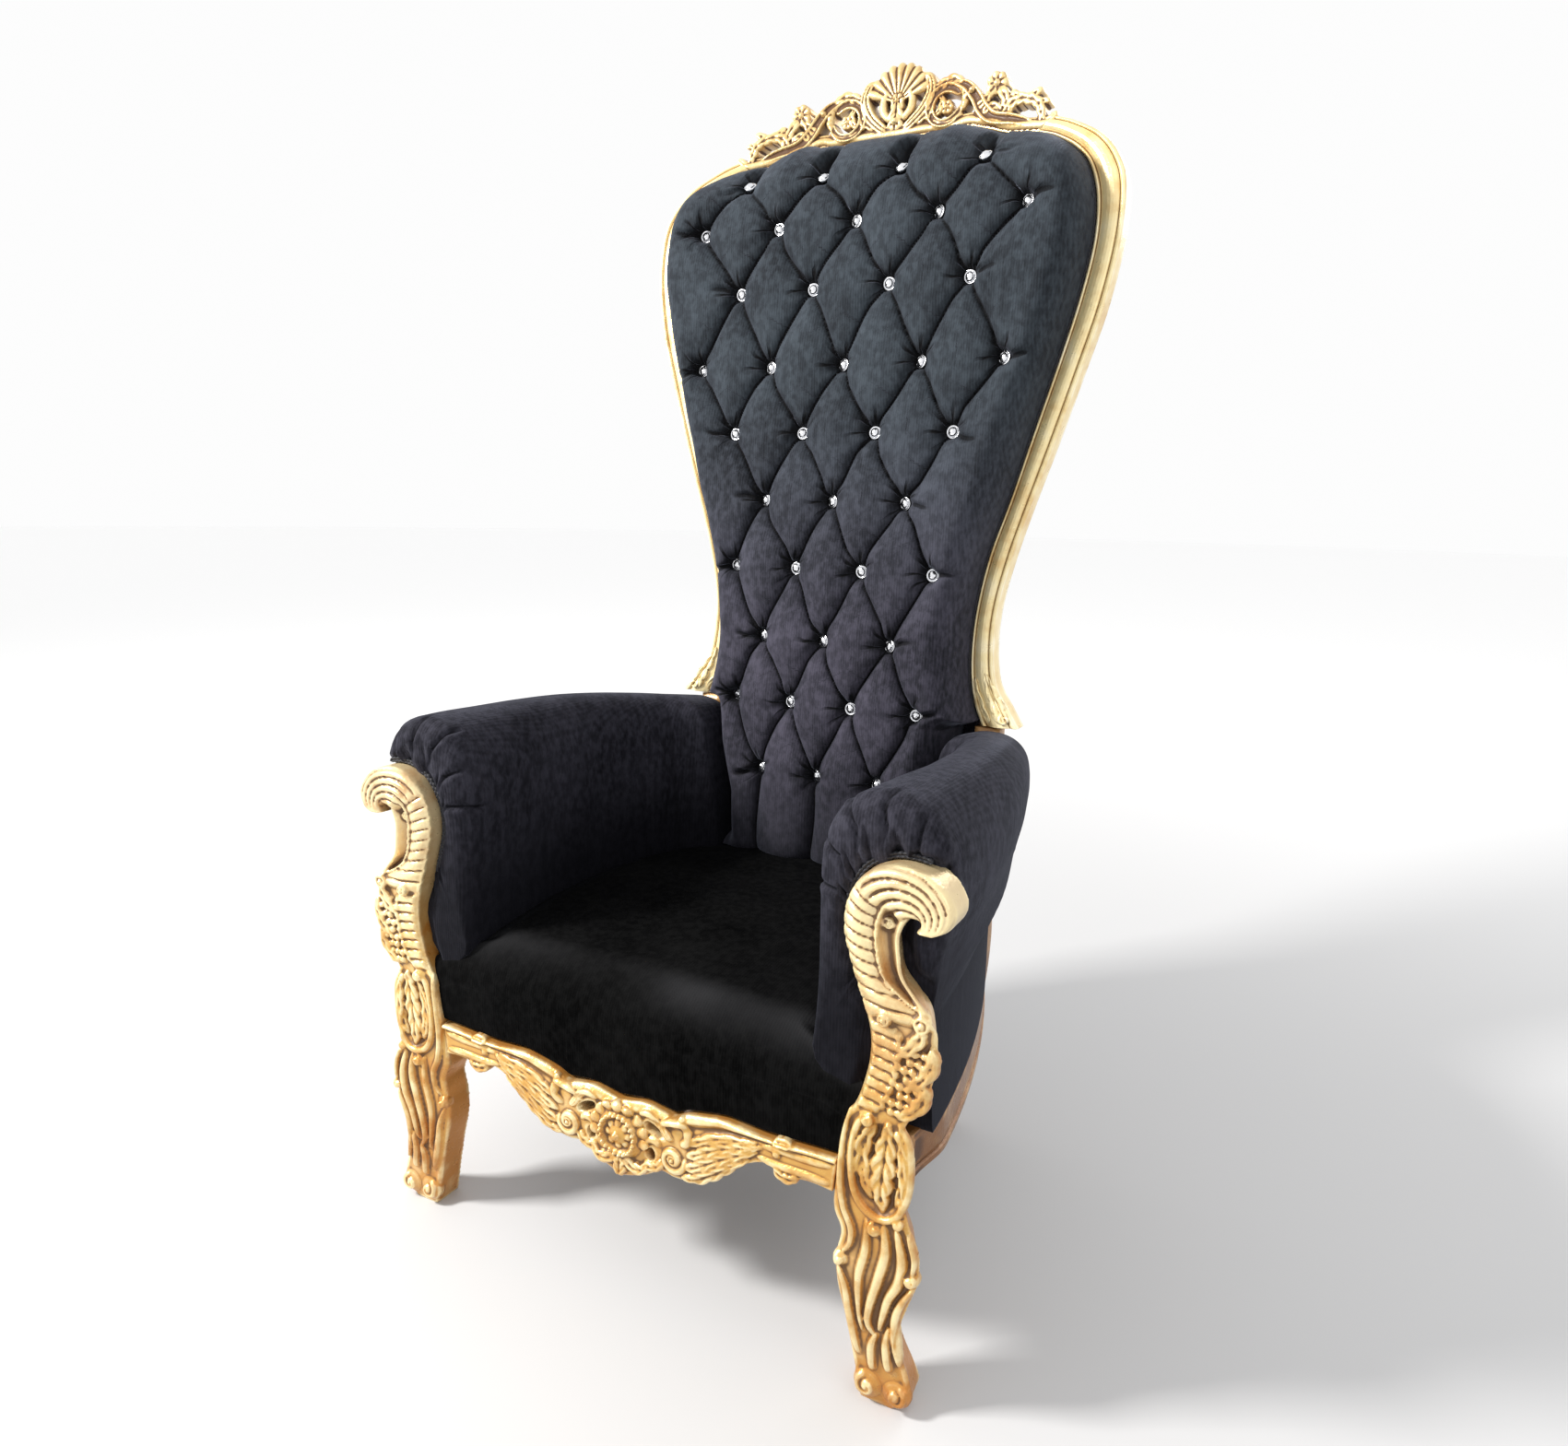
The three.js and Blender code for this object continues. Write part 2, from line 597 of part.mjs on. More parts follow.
function backPanel() {
  const levels = [332, 520, STILE_FOOT, 724, 770, 850, 980, 1180, 1400, 1480, 1545, 1590, 1620];
  const top = [[1640, 290], [1656, 268], [1668, 205], [1680, 134], [1690, 60]];
  const rings = [...levels, ...top.map(([z]) => z)].map((z) => {
    const framed = z < top[0][0] ? padHalfWidth(z) + 14 : interpolate(top, z);
    const half = z <= STILE_FOOT ? 244 : framed;
    const ring = [];
    for (const t of [-1, -0.5, 0, 0.5, 1]) {
      ring.push(new THREE.Vector3(half * t, backFace(half * t, z) + PANEL_AT, z));
    }
    for (const t of [1, 0.5, 0, -0.5, -1]) {
      ring.push(new THREE.Vector3(half * t, backFace(half * t, z) + PANEL_AT + PANEL_THICK, z));
    }
    return ring;
  });
  return loft(rings);
}

// ---- arms and seat ------------------------------------------------------------------------

const ARM_STATIONS = [ARM_FRONT, CORNER_Y, CORNER_Y + 8, 140, 230, 330, 430, 490, 535, ARM_REAR];

function armRing(y) {
  const notched = y <= CORNER_Y;
  const low = notched ? CORNER_Z : CLOTH_BOTTOM;
  const foot = notched ? CORNER_Z - 14 : CLOTH_BOTTOM;
  const outer = armOuter(y);
  const side = armSide(y);
  const ring = [[armInner(y, low), low], [armInner(y, 540), 540]];
  const inner = armInner(y, ROLL_SPRING);
  const middle = (inner + outer) / 2;
  const half = (outer - inner) / 2;
  const rise = armTop(y) - ROLL_SPRING;
  const round = (v) => Math.sign(v) * Math.abs(v) ** 0.8;
  for (let k = 0; k <= ARM_ROLL_SIDES; k += 1) {
    const turn = Math.PI * (1 - k / ARM_ROLL_SIDES);
    ring.push([middle + half * round(Math.cos(turn)), ROLL_SPRING + rise * round(Math.sin(turn))]);
  }
  ring.push([outer - 4, 620], [side + 6, 575], [side, 520], [side, CLOTH_BOTTOM]);
  ring.push([Math.min(332, side - 12), foot]);
  return ring.map(([x, z]) => new THREE.Vector3(x, y, z));
}

function arm(clearance) {
  const solid = toSolid(loft(ARM_STATIONS.map(armRing)));
  return toGeometry(solid.subtract(clearance));
}

function apronTop(x) {
  return interpolate(APRON_HALF, Math.abs(x));
}

// The seat is lofted along its depth, between the arms. In front it is as wide as the space
// between the posts, and its lower edge follows the top of the apron.
function seatPad() {
  const shares = [-1, -0.6, 0, 0.6, 1];
  const stations = [4, 14, 34, CORNER_Y - 10, CORNER_Y - 2, ...ARM_STATIONS.slice(2, -1), SEAT_REAR];
  const rings = stations.map((y) => {
    const inFront = y < CORNER_Y - 5;
    const side = (z) => armInner(y, z) - CLOTH_GAP;
    const wide = inFront ? 322 : side(CLOTH_BOTTOM);
    const shoulder = inFront ? CORNER_Z - 18 : CORNER_Z - 4;
    const outside = inFront ? 322 : side(shoulder);
    const under = shares.map((t) => [t * wide, y < 40 ? apronTop(t * wide) + 6 : CLOTH_BOTTOM]);
    const crown = SEAT_CROWN * Math.sin(Math.PI * ((y + 60) / 760));
    const fall = y < 40 ? 34 * (1 - Math.sqrt(1 - (1 - y / 40) ** 2)) : 0;
    const over = shares.map((t) => {
      const z = SEAT_TOP + crown * (1 - 0.5 * t * t) - fall - (Math.abs(t) === 1 ? 12 : 0);
      return [t * side(z), z];
    });
    const right = [[outside, shoulder], [side(CORNER_Z - 3), CORNER_Z - 3]];
    const left = right.map(([x, z]) => [-x, z]);
    const ring = [...under, ...right, ...over.reverse(), ...left.reverse()];
    return ring.map(([x, z]) => new THREE.Vector3(x, y, z));
  });
  return loft(rings);
}

// ---- assembly -----------------------------------------------------------------------------

function build() {
  const throne = new THREE.Group();
  const add = (name, geometry, material) => {
    const mesh = new THREE.Mesh(geometry, material);
    mesh.name = name;
    throne.add(mesh);
  };
  const clearance = postClearance();
  const pairs = {
    front_post: [frontPost(), GILT],
    side_rail: [sideRail(), OLD_GILT],
    rear_leg: [rearLeg(), OLD_GILT],
    back_stile: [backStile(), GILT],
    arm: [arm(clearance), VELVET],
  };
  for (const [name, [geometry, material]] of Object.entries(pairs)) {
    add(`${name}_left`, geometry, material);
    add(`${name}_right`, mirrored(geometry), material);
  }
  add('front_rail', frontRail(), GILT);
  add('rear_rail', rearRail(), OLD_GILT);
  add('crest_rail', crestRail(), GILT);
  add('seat_pad', seatPad(), VELVET);
  add('back_pad', backPad(), VELVET);
  add('back_panel', backPanel(), VELVET);
  BUTTON_ROWS.forEach(({ z, pitch, count }, row) => {
    for (let c = 0; c < count; c += 1) {
      const x = (c - (count - 1) / 2) * pitch;
      add(`button_${row + 1}_${c + 1}`, button(x, z), CRYSTAL);
    }
  });
  throne.position.y = -FRONT_TO_ORIGIN;
  return throne;
}

export default build();
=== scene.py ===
"""The looks of a high-backed throne: carved and gilded wood, buttoned velvet, crystal buttons.

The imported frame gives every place. The carver's and upholsterer's drawings below are in
millimetres, measured from the plane of the toes; every mesh is turned into metres as it is made.
+Z is up, -Y is the front and +X is the sitter's left.
"""

import logging
import math
from collections.abc import Callable, Sequence
from dataclasses import dataclass, field, replace
from enum import Enum
from functools import partial

import bmesh
import bpy
import numpy as np
from mathutils import Matrix, Vector
from mathutils.bvhtree import BVHTree


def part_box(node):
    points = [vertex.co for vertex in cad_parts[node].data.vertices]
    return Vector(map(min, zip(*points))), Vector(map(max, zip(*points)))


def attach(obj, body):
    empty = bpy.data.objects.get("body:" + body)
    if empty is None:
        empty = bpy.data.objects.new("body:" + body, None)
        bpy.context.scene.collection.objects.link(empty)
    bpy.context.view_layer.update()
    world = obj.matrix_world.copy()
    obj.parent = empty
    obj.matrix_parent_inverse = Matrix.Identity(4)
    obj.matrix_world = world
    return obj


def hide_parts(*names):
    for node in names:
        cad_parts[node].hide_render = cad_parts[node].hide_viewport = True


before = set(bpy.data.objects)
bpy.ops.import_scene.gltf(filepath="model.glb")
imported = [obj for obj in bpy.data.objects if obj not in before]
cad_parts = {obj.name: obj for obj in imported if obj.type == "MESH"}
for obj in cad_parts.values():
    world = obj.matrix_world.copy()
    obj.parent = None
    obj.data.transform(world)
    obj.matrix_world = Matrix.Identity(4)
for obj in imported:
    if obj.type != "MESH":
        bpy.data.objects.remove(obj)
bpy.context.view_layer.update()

Array = np.ndarray
Surface = Callable[[Array, Array], Array]
Triple = tuple[float, float, float]
Path = tuple[tuple[float, float, float], ...]
Profile = tuple[tuple[float, float], ...]
Piece = bpy.types.Object
Shell = bmesh.types.BMesh
Socket = bpy.types.NodeSocket
Paint = bpy.types.Material
LOG = logging.getLogger("throne")

MM = 0.001
POST_DEPTH = 45.0
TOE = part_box("front_post_left")[1].y - POST_DEPTH * MM
SIDES = ("left", "right")
BEFORE = -2.0
WELD = 1e-6
FLAT = 1e-9
CUT, ASIDE, ABOVE = "cut", "aside", "above"


# ---- numbers --------------------------------------------------------------------------------


def lerp(low: Array, high: Array, share: Array) -> Array:
    """A value that share of the way from low to high."""
    return low + (high - low) * share


def ease(value: Array, low: float, high: float) -> Array:
    """0 below low, 1 above high and a smooth step between them."""
    t = np.clip((value - low) / (high - low), 0.0, 1.0)
    return t * t * (3.0 - 2.0 * t)


def swell(value: Array, centre: Array, width: float) -> Array:
    """A bell of height 1 around centre."""
    return np.exp(-(((value - centre) / width) ** 2))


def lobes(s: Array, count: float, power: float) -> Array:
    """Rounded lobes of height 1 side by side, count of them from 0 to 1."""
    return np.abs(np.sin(np.pi * count * s)) ** power


def arch(value: Array, power: float = 2.0) -> Array:
    """1 in the middle and 0 at -1 and 1, falling like an arch."""
    return np.sqrt(np.clip(1.0 - np.abs(value) ** power, 0.0, 1.0))


def bow(share: Array, start: float, pull: float, end: float) -> Array:
    """A curve from start to end that is drawn towards pull on the way."""
    return start * (1 - share) ** 2 + 2 * pull * share * (1 - share) + end * share**2


def ripple(x: Array, z: Array, step: float) -> Array:
    """An uneven but repeatable wave over a surface, between about -1 and 1.

    Args:
        x: Places one way.
        z: Places the other way.
        step: The length of its waves.

    Returns:
        Its height at each place.
    """
    a = np.sin(x / step + 1.7 * np.sin(z / (1.9 * step)))
    b = np.sin(z / (0.83 * step) + 1.3 * np.sin(x / (2.3 * step) + 2.0))
    return 0.5 * (a + b)


def smooth_curve(points: Array, s: Array) -> Array:
    """Points of a smooth curve through rows of numbers.

    Args:
        points: Rows that the curve passes through.
        s: Shares of the way along it, 0 to 1.

    Returns:
        One row for each share.
    """
    points = np.asarray(points, float)
    rows = np.vstack([2 * points[0] - points[1], points, 2 * points[-1] - points[-2]])
    spans = len(points) - 1
    at = np.clip(s, 0.0, 1.0) * spans
    i = np.minimum(at.astype(int), spans - 1)
    w = (at - i)[:, None]
    p, q, r, t = (rows[i + k] for k in range(4))
    return 0.5 * (2 * q + (r - p) * w + (2 * p - 5 * q + 4 * r - t) * w**2 + (3 * q - p - 3 * r + t) * w**3)


def square_to(along: Array) -> Array:
    """Unit vectors square to rows of directions."""
    along = along / np.maximum(np.linalg.norm(along, axis=1, keepdims=True), FLAT)
    return np.stack([along[:, 1], -along[:, 0]], axis=1)


def beside(path: Array, s: Array) -> Array:
    """Unit vectors square to a drawn curve at shares s of its length."""
    step = 1e-3
    return square_to((smooth_curve(path, s + step) - smooth_curve(path, s - step))[:, :2])


def distance_to(line: Array, x: Array, z: Array) -> Array:
    """How far points lie from a line of straight pieces.

    Args:
        line: Rows of x and z along it.
        x: The points' places across.
        z: Their heights.

    Returns:
        One distance for each point.
    """
    nearest = np.full_like(x, np.inf)
    for (ax, az), (bx, bz) in zip(line[:-1], line[1:]):
        run, rise = bx - ax, bz - az
        t = np.clip(((x - ax) * run + (z - az) * rise) / max(run * run + rise * rise, FLAT), 0, 1)
        nearest = np.minimum(nearest, np.hypot(x - ax - t * run, z - az - t * rise))
    return nearest


# ---- the drawings ---------------------------------------------------------------------------


@dataclass(frozen=True)
class BackForm:
    """The leaning, slightly hollow surface that the back frame and its pad follow."""

    at: float = 675.4
    middle: float = 900.0
    slope: float = 0.0948
    bend: float = 0.0628e-3
    wrap: float = 60.2 / 400**2

    def face(self, x: Array, z: Array) -> Array:
        """The y of the frame's front face at x, z."""
        up = z - self.middle
        return self.at + self.slope * up + self.bend * up**2 - self.wrap * x**2


@dataclass(frozen=True)
class Rails:
    """Two smooth edges, as rows of inner x, inner z, outer x, outer z."""

    rows: tuple[tuple[float, float, float, float], ...]

    def edges(self, s: Array) -> tuple[Array, Array]:
        """The inner and outer points at shares s of the length."""
        both = smooth_curve(self.rows, s)
        return both[:, :2], both[:, 2:]

    def inside(self, k: float, t: float) -> tuple[float, float]:
        """The point at row number k, the share t of the way across."""
        x, z = lerp(*self.edges(np.array([k / (len(self.rows) - 1)])), t)[0]
        return float(x), float(z)


BACK = BackForm()

POST = Rails((
    (364, 0, 408, 0), (359, 22, 430, 20), (353, 50, 427, 52), (345, 85, 413, 85),
    (338, 113, 411, 110), (328, 150, 421, 146), (325, 185, 434, 190), (331, 222, 433, 225),
    (321, 250, 421, 257), (322, 285, 411, 290), (328, 330, 404, 330), (333, 372, 406, 375),
    (348, 405, 419, 405), (357, 435, 434, 432), (362, 462, 442, 460), (362, 490, 444, 490),
    (355, 520, 440, 522), (343, 552, 420, 545), (333, 582, 401, 568), (326, 608, 396, 592),
    (326, 635, 394, 612), (334, 660, 397, 627), (350, 682, 402, 637), (374, 695, 407, 640),
    (400, 698, 412, 641), (426, 692, 416, 640), (446, 677, 418, 638), (457, 656, 418, 634),
    (452, 637, 416, 630), (437, 627, 412, 628),
))

STILE = Rails((
    (262, 718, 328, 722), (247, 748, 309, 748), (236, 790, 281, 790), (232, 850, 271, 852),
    (237, 920, 273.5, 915), (252, 1000, 290, 992), (279, 1085, 314, 1075), (307, 1185, 345, 1172),
    (337, 1290, 376, 1276), (361, 1385, 403, 1372), (374, 1465, 418, 1468), (371, 1530, 416, 1545),
    (354, 1580, 399, 1588), (328, 1611, 368, 1624), (292, 1634, 322, 1652), (262, 1645, 286, 1667),
))

CREST_HALF = (
    (0, 1675, 0, 1700), (60, 1676, 58, 1699), (112, 1673, 108, 1698), (134, 1677, 136, 1700),
    (168, 1668, 172, 1691), (205, 1655, 213, 1678), (236, 1650, 246, 1672), (261, 1645.5, 285, 1667.5),
)
APRON_HALF = (
    (0, 296, 0, 181), (42, 303, 40, 194), (66, 300, 65, 209), (88, 297, 88, 207),
    (108, 306, 112, 211), (140, 313, 140, 229), (166, 317, 168, 247), (220, 314, 220, 276),
    (256, 315, 256, 270), (290, 317, 290, 273), (325, 318, 319.6, 271),
)


def whole(half: tuple) -> tuple:
    """Rows of a half drawing, from its middle outwards, with their mirror image before them."""
    return tuple((-x, z, -u, w) for x, z, u, w in half[:0:-1]) + half


CREST = Rails(whole(CREST_HALF)[::-1])
APRON = Rails(whole(APRON_HALF))


# ---- finishes -------------------------------------------------------------------------------


class Level:
    """A number that varies over a surface: one socket, with arithmetic that adds its nodes."""

    def __init__(self, shader: "Shader", socket: Socket) -> None:
        """Wraps socket, whose nodes belong to shader."""
        self.shader = shader
        self.socket = socket

    def _math(self, operation: str, *values: "Level | float") -> "Level":
        """The result of one Math node."""
        node = self.shader.node("ShaderNodeMath", {"operation": operation}, dict(enumerate(values)))
        return Level(self.shader, node.outputs[0])

    def __add__(self, other: "Level | float") -> "Level":
        """The sum."""
        return self._math("ADD", self, other)

    def __sub__(self, other: "Level | float") -> "Level":
        """The difference."""
        return self._math("SUBTRACT", self, other)

    def __rsub__(self, other: "Level | float") -> "Level":
        """The difference, the other way round."""
        return self._math("SUBTRACT", other, self)

    def __mul__(self, other: "Level | float") -> "Level":
        """The product."""
        return self._math("MULTIPLY", self, other)

    __radd__ = __add__
    __rmul__ = __mul__

    def __pow__(self, other: float) -> "Level":
        """A power."""
        return self._math("POWER", self, other)

    def sine(self) -> "Level":
        """The sine of an angle in radians."""
        return self._math("SINE", self)

    def turn(self, across: "Level") -> "Level":
        """The angle in radians of a place that lies this far up and so far across."""
        return self._math("ARCTAN2", self, across)

    def between(self, low: float, high: float) -> "Level":
        """0 below low, 1 above high, smooth between; low may be the larger.

        Args:
            low: Where it is 0.
            high: Where it is 1.

        Returns:
            The step.
        """
        settings = {"interpolation_type": "SMOOTHSTEP", "clamp": True}
        inputs = {"Value": self, "From Min": low, "From Max": high}
        return Level(self.shader, self.shader.node("ShaderNodeMapRange", settings, inputs).outputs[0])


class Shader:
    """The nodes of one material."""

    def __init__(self, name: str) -> None:
        """Starts an empty material of that name.

        Args:
            name: The material's name.
        """
        self.material = bpy.data.materials.new(name)
        self.material.use_nodes = True
        self.tree = self.material.node_tree
        self.tree.nodes.clear()

    def node(self, kind: str, settings: dict | None = None, inputs: dict | None = None) -> bpy.types.Node:
        """Adds a node.

        Args:
            kind: The node's type.
            settings: Its own settings, set first.
            inputs: Values or links for its sockets, by name or number.

        Returns:
            The node.
        """
        node = self.tree.nodes.new(kind)
        for key, value in (settings or {}).items():
            setattr(node, key, value)
        for key, value in (inputs or {}).items():
            if isinstance(value, Level):
                value = value.socket
            if isinstance(value, Socket):
                self.tree.links.new(value, node.inputs[key])
            else:
                node.inputs[key].default_value = value
        return node

    def place(self) -> Socket:
        """Where a point lies, in metres."""
        return self.node("ShaderNodeTexCoord").outputs["Object"]

    def axis(self, letter: str) -> Level:
        """One coordinate of a point, in metres."""
        return Level(self, self.node("ShaderNodeSeparateXYZ", inputs={0: self.place()}).outputs[letter])

    def marked(self, name: str) -> Level:
        """A number kept on the mesh under that name."""
        return Level(self, self.node("ShaderNodeAttribute", {"attribute_name": name}).outputs["Fac"])

    def frontal(self) -> Level:
        """How squarely a surface faces forward: 1 to the front, 0 sideways, -1 to the rear."""
        facing = self.node("ShaderNodeNewGeometry").outputs["Normal"]
        return 0.0 - Level(self, self.node("ShaderNodeSeparateXYZ", inputs={0: facing}).outputs["Y"])

    def buried(self, reach: float, shallow: float, deep: float) -> Level:
        """How deep a point lies in a hollow, by an occlusion node; the finishes darken their colour by it as
        painted shade.

        Args:
            reach: How far about it the surface is felt, in metres.
            shallow: The share of open air at which a hollow starts.
            deep: The share of open air at which it is full.

        Returns:
            0 in the open and 1 in a full hollow.
        """
        settings = {"samples": 4, "only_local": True}
        shade = self.node("ShaderNodeAmbientOcclusion", settings, {"Distance": reach})
        return Level(self, shade.outputs["AO"]).between(shallow, deep)

    def noise(self, scale: float, detail: float = 3.0, stretch: Triple = (1, 1, 1)) -> Level:
        """Soft noise.

        Args:
            scale: Its cells in a metre.
            detail: Its finer layers.
            stretch: How much denser it is along each axis.

        Returns:
            Its level, 0 to 1.
        """
        spread = self.node("ShaderNodeMapping", inputs={"Vector": self.place(), "Scale": stretch})
        inputs = {"Vector": spread.outputs[0], "Scale": scale, "Detail": detail, "Roughness": 0.55}
        return Level(self, self.node("ShaderNodeTexNoise", inputs=inputs).outputs[0])

    def mix(self, share: Level | float, low: object, high: object) -> Socket:
        """A colour that share of the way from low to high.

        Args:
            share: How much of the second colour.
            low: The first colour, or the socket of one.
            high: The second colour, or the socket of one.

        Returns:
            The socket of the mixed colour.
        """
        settings = {"data_type": "RGBA", "clamp_factor": True}
        colours = [(*c, 1.0) if isinstance(c, tuple) else c for c in (low, high)]
        node = self.node("ShaderNodeMix", settings, {0: share, 6: colours[0], 7: colours[1]})
        return node.outputs[2]

    def bump(self, height: Level, depth: float) -> Socket:
        """A normal for a relief of that height, depth metres deep."""
        inputs = {"Height": height, "Distance": depth, "Strength": 1.0}
        return self.node("ShaderNodeBump", inputs=inputs).outputs[0]

    def finish(self, inputs: dict) -> Paint:
        """Ends the material in a Principled shader with those inputs.

        Args:
            inputs: Values or links for its sockets.

        Returns:
            The material.
        """
        shader = self.node("ShaderNodeBsdfPrincipled", inputs=inputs)
        self.node("ShaderNodeOutputMaterial", inputs={0: shader.outputs[0]})
        return self.material


@dataclass(frozen=True)
class Gilding:
    """Gold leaf over carved wood, waxed brown in its cuts, with painted shade in its hollows and on faces
    turned sideways, and a painted highlight on its ridges.
    """

    name: str = "gilt"
    leaf: Triple = (0.62, 0.37, 0.09)
    pale: Triple = (0.72, 0.61, 0.38)
    bright: Triple = (0.88, 0.72, 0.40)
    amber: Triple = (0.50, 0.205, 0.04)
    # The brown of the waxing in the cuts, and of the painted shade in the hollows.
    wax_and_shade: Triple = (0.085, 0.034, 0.008)
    metal: float = 0.45
    hollow_reach: float = 0.022
    turns_pale: tuple[float, float] = (0.36, 0.66)
    crest: tuple[float, float] = (1.46, 1.62)

    def build(self) -> Paint:
        """Makes the material.

        Returns:
            The material.
        """
        s = Shader(self.name)
        up, cut = s.axis("Z"), s.marked(CUT)
        high, crest = up.between(*self.turns_pale), up.between(*self.crest)
        low_down = up.between(0.42, 0.05) + up.between(0.15, 0.01) * 0.6
        patches = s.noise(9.0) * 0.55 + s.noise(34.0, 4.0) * 0.45
        grain = s.noise(260.0, 4.0)
        # Painted shade: faces turned sideways, away from the front, go amber, less so high up.
        sideways = s.frontal().between(0.75, 0.1) * (1.0 - high * 0.8)
        colour = s.mix(high * (0.85 - crest * 0.55), self.leaf, self.pale)
        # More amber towards the floor, on sideways faces as painted shade, and in random patches.
        amber_and_side_shade = low_down * 0.4 + sideways * 0.7 + patches.between(0.48, 0.66) * 0.55
        colour = s.mix(amber_and_side_shade, colour, self.amber)
        # Painted highlight: the ridges are lightened towards the bright colour, less so on the crest.
        ridge_highlight = cut.between(-0.2, -1.6) * patches.between(0.62, 0.42)
        thin = patches.between(0.5, 0.36) * 0.35 + grain.between(0.55, 0.8) * 0.15
        colour = s.mix(ridge_highlight * (0.75 - crest * 0.3) + thin, colour, self.bright)
        colour = s.mix(cut.between(0.1, 0.9) * 0.4, colour, self.amber)
        # Painted shade: an occlusion node darkens the hollows, over the brown waxing in the deeper cuts; the
        # crest's cuts go darker still.
        buried = s.buried(self.hollow_reach, 0.7, 0.2)
        hollow = cut.between(0.55, 1.9) * 0.85 + buried * 0.65 + cut.between(0.15, 0.9) * crest * 0.55
        colour = s.mix(hollow, colour, self.wax_and_shade)
        rough = hollow * 0.3 + s.noise(40.0) * 0.2 + 0.2
        metal = (1.0 - hollow.between(0.1, 0.9) * 0.9) * self.metal
        return s.finish({
            "Base Color": colour, "Roughness": rough, "Metallic": metal, "Coat Weight": 0.12,
            "Coat Roughness": 0.25, "Normal": s.bump(grain + s.noise(75.0) * 1.5, 0.0005),
        })


@dataclass(frozen=True)
class Velvet:
    """Black pile with a cool sheen, faint upright ribs and brushed patches, painted shade in its folds, round
    its buttons and low down, and, where set, a painted sheen on a forward-turning roll.
    """

    name: str = "velvet"
    deep: Triple = (0.005, 0.0058, 0.008)
    lit: Triple = (0.060, 0.056, 0.078)
    lit_high: Triple = (0.040, 0.050, 0.061)
    # The dark colour of painted shade in folds, creases and pits.
    fold: Triple = (0.0015, 0.0015, 0.002)
    # The colour and the share of a painted sheen where the surface turns over to face forward.
    painted_sheen_colour: Triple = (0.03, 0.03, 0.032)
    painted_sheen_share: float = 0.0
    # How far the pile is darkened below 0.7 m, as painted shade.
    painted_shade_low: float = 0.0
    brush: float = 0.38
    sheen: float = 0.2
    gloss: float = 0.15
    rib: float = 0.0042
    rib_depth: float = 0.0004

    def build(self) -> Paint:
        """Makes the material.

        Returns:
            The material.
        """
        s = Shader(self.name)
        level, frontal = s.axis("Z"), s.frontal()
        brushed = s.noise(9.0, 8.0, (1, 1, 0.7))
        nap = s.noise(520.0, 3.0, (1, 1, 0.12))
        pile = s.noise(1400.0, 2.0)
        ribs = (s.axis("X") * (2 * math.pi / self.rib)).sine() * 0.5 + 0.5
        mottle = s.noise(90.0, 5.0, (1, 1, 0.7))
        share = brushed.between(0.3, 0.7) * self.brush + mottle.between(0.36, 0.66) * 0.4
        share = share + nap.between(0.3, 0.75) * 0.2 + ribs * 0.14
        # Painted shade: the pile goes darker from 0.7 m down to the seat, under the arms' tops and between
        # the arms.
        share = share * (1.0 - level.between(0.70, 0.47) * self.painted_shade_low)
        colour = s.mix(share, self.deep, s.mix(level.between(0.8, 1.3), self.lit, self.lit_high))
        # Painted sheen: a lighter patch where the surface turns to face forward, as on the seat's front roll.
        crown = frontal.between(-0.05, 0.5) * frontal.between(1.0, 0.45) * s.noise(2.6).between(0.3, 0.7)
        colour = s.mix(crown * self.painted_sheen_share, colour, self.painted_sheen_colour)
        aside, up = s.marked(ASIDE), s.marked(ABOVE)
        reach = (aside ** 2.0 + up ** 2.0) ** 0.5
        # Painted shade: dark creases radiating above and to one side of each button.
        rays = (up.turn(aside) * 7.0 + s.noise(11.0) * 9.0).sine()
        drawn = rays.between(0.72, 0.98) * reach.between(0.046, 0.02) * reach.between(0.010, 0.014)
        drawn = drawn * (up - aside * 0.8 + 0.01).between(-0.004, 0.012)
        # Painted shade: a dark pit above each button.
        pit = reach.between(0.034, 0.010) * reach.between(0.001, 0.004)
        pit = pit * (up - aside * 0.4).between(-0.012, 0.012)
        # Painted shade: folds and occluded hollows darken towards the fold colour.
        fold_shade = s.marked(CUT).between(0.6, 3.2) * 0.7 + s.buried(0.05, 0.85, 0.3) * 0.7
        colour = s.mix(fold_shade + drawn * 0.9 + pit * 0.75, colour, self.fold)
        relief = ribs * 0.35 + nap + pile * 0.6 - drawn * 5.0
        return s.finish({
            "Base Color": colour, "Roughness": 0.88, "Specular IOR Level": self.gloss,
            "Sheen Weight": self.sheen, "Sheen Roughness": 0.35, "Sheen Tint": (0.55, 0.6, 0.78, 1),
            "Normal": s.bump(relief, self.rib_depth),
        })


@dataclass(frozen=True)
class Braid:
    """Dark woven gimp."""

    name: str = "gimp"

    def build(self) -> Paint:
        """Makes the material.

        Returns:
            The material.
        """
        s = Shader(self.name)
        thread = s.noise(900.0, 2.0)
        colour = s.mix(thread.between(0.4, 0.7), (0.004, 0.004, 0.006), (0.03, 0.03, 0.04))
        return s.finish({"Base Color": colour, "Roughness": 0.7, "Normal": s.bump(thread, 0.0003)})


@dataclass(frozen=True)
class Plain:
    """An even finish, silvered metal or crystal, with a faint speckle."""

    name: str
    colour: Triple
    rough: float
    metal: float = 0.0
    clear: float = 0.0
    speckle: float = 0.0

    def build(self) -> Paint:
        """Makes the material.

        Returns:
            The material.
        """
        s = Shader(self.name)
        tone = tuple(c * (1 - self.speckle) for c in self.colour)
        colour = s.mix(s.noise(300.0).between(0.35, 0.7), self.colour, tone)
        return s.finish({
            "Base Color": colour, "Roughness": self.rough, "Metallic": self.metal,
            "Transmission Weight": self.clear, "IOR": 1.54,
        })


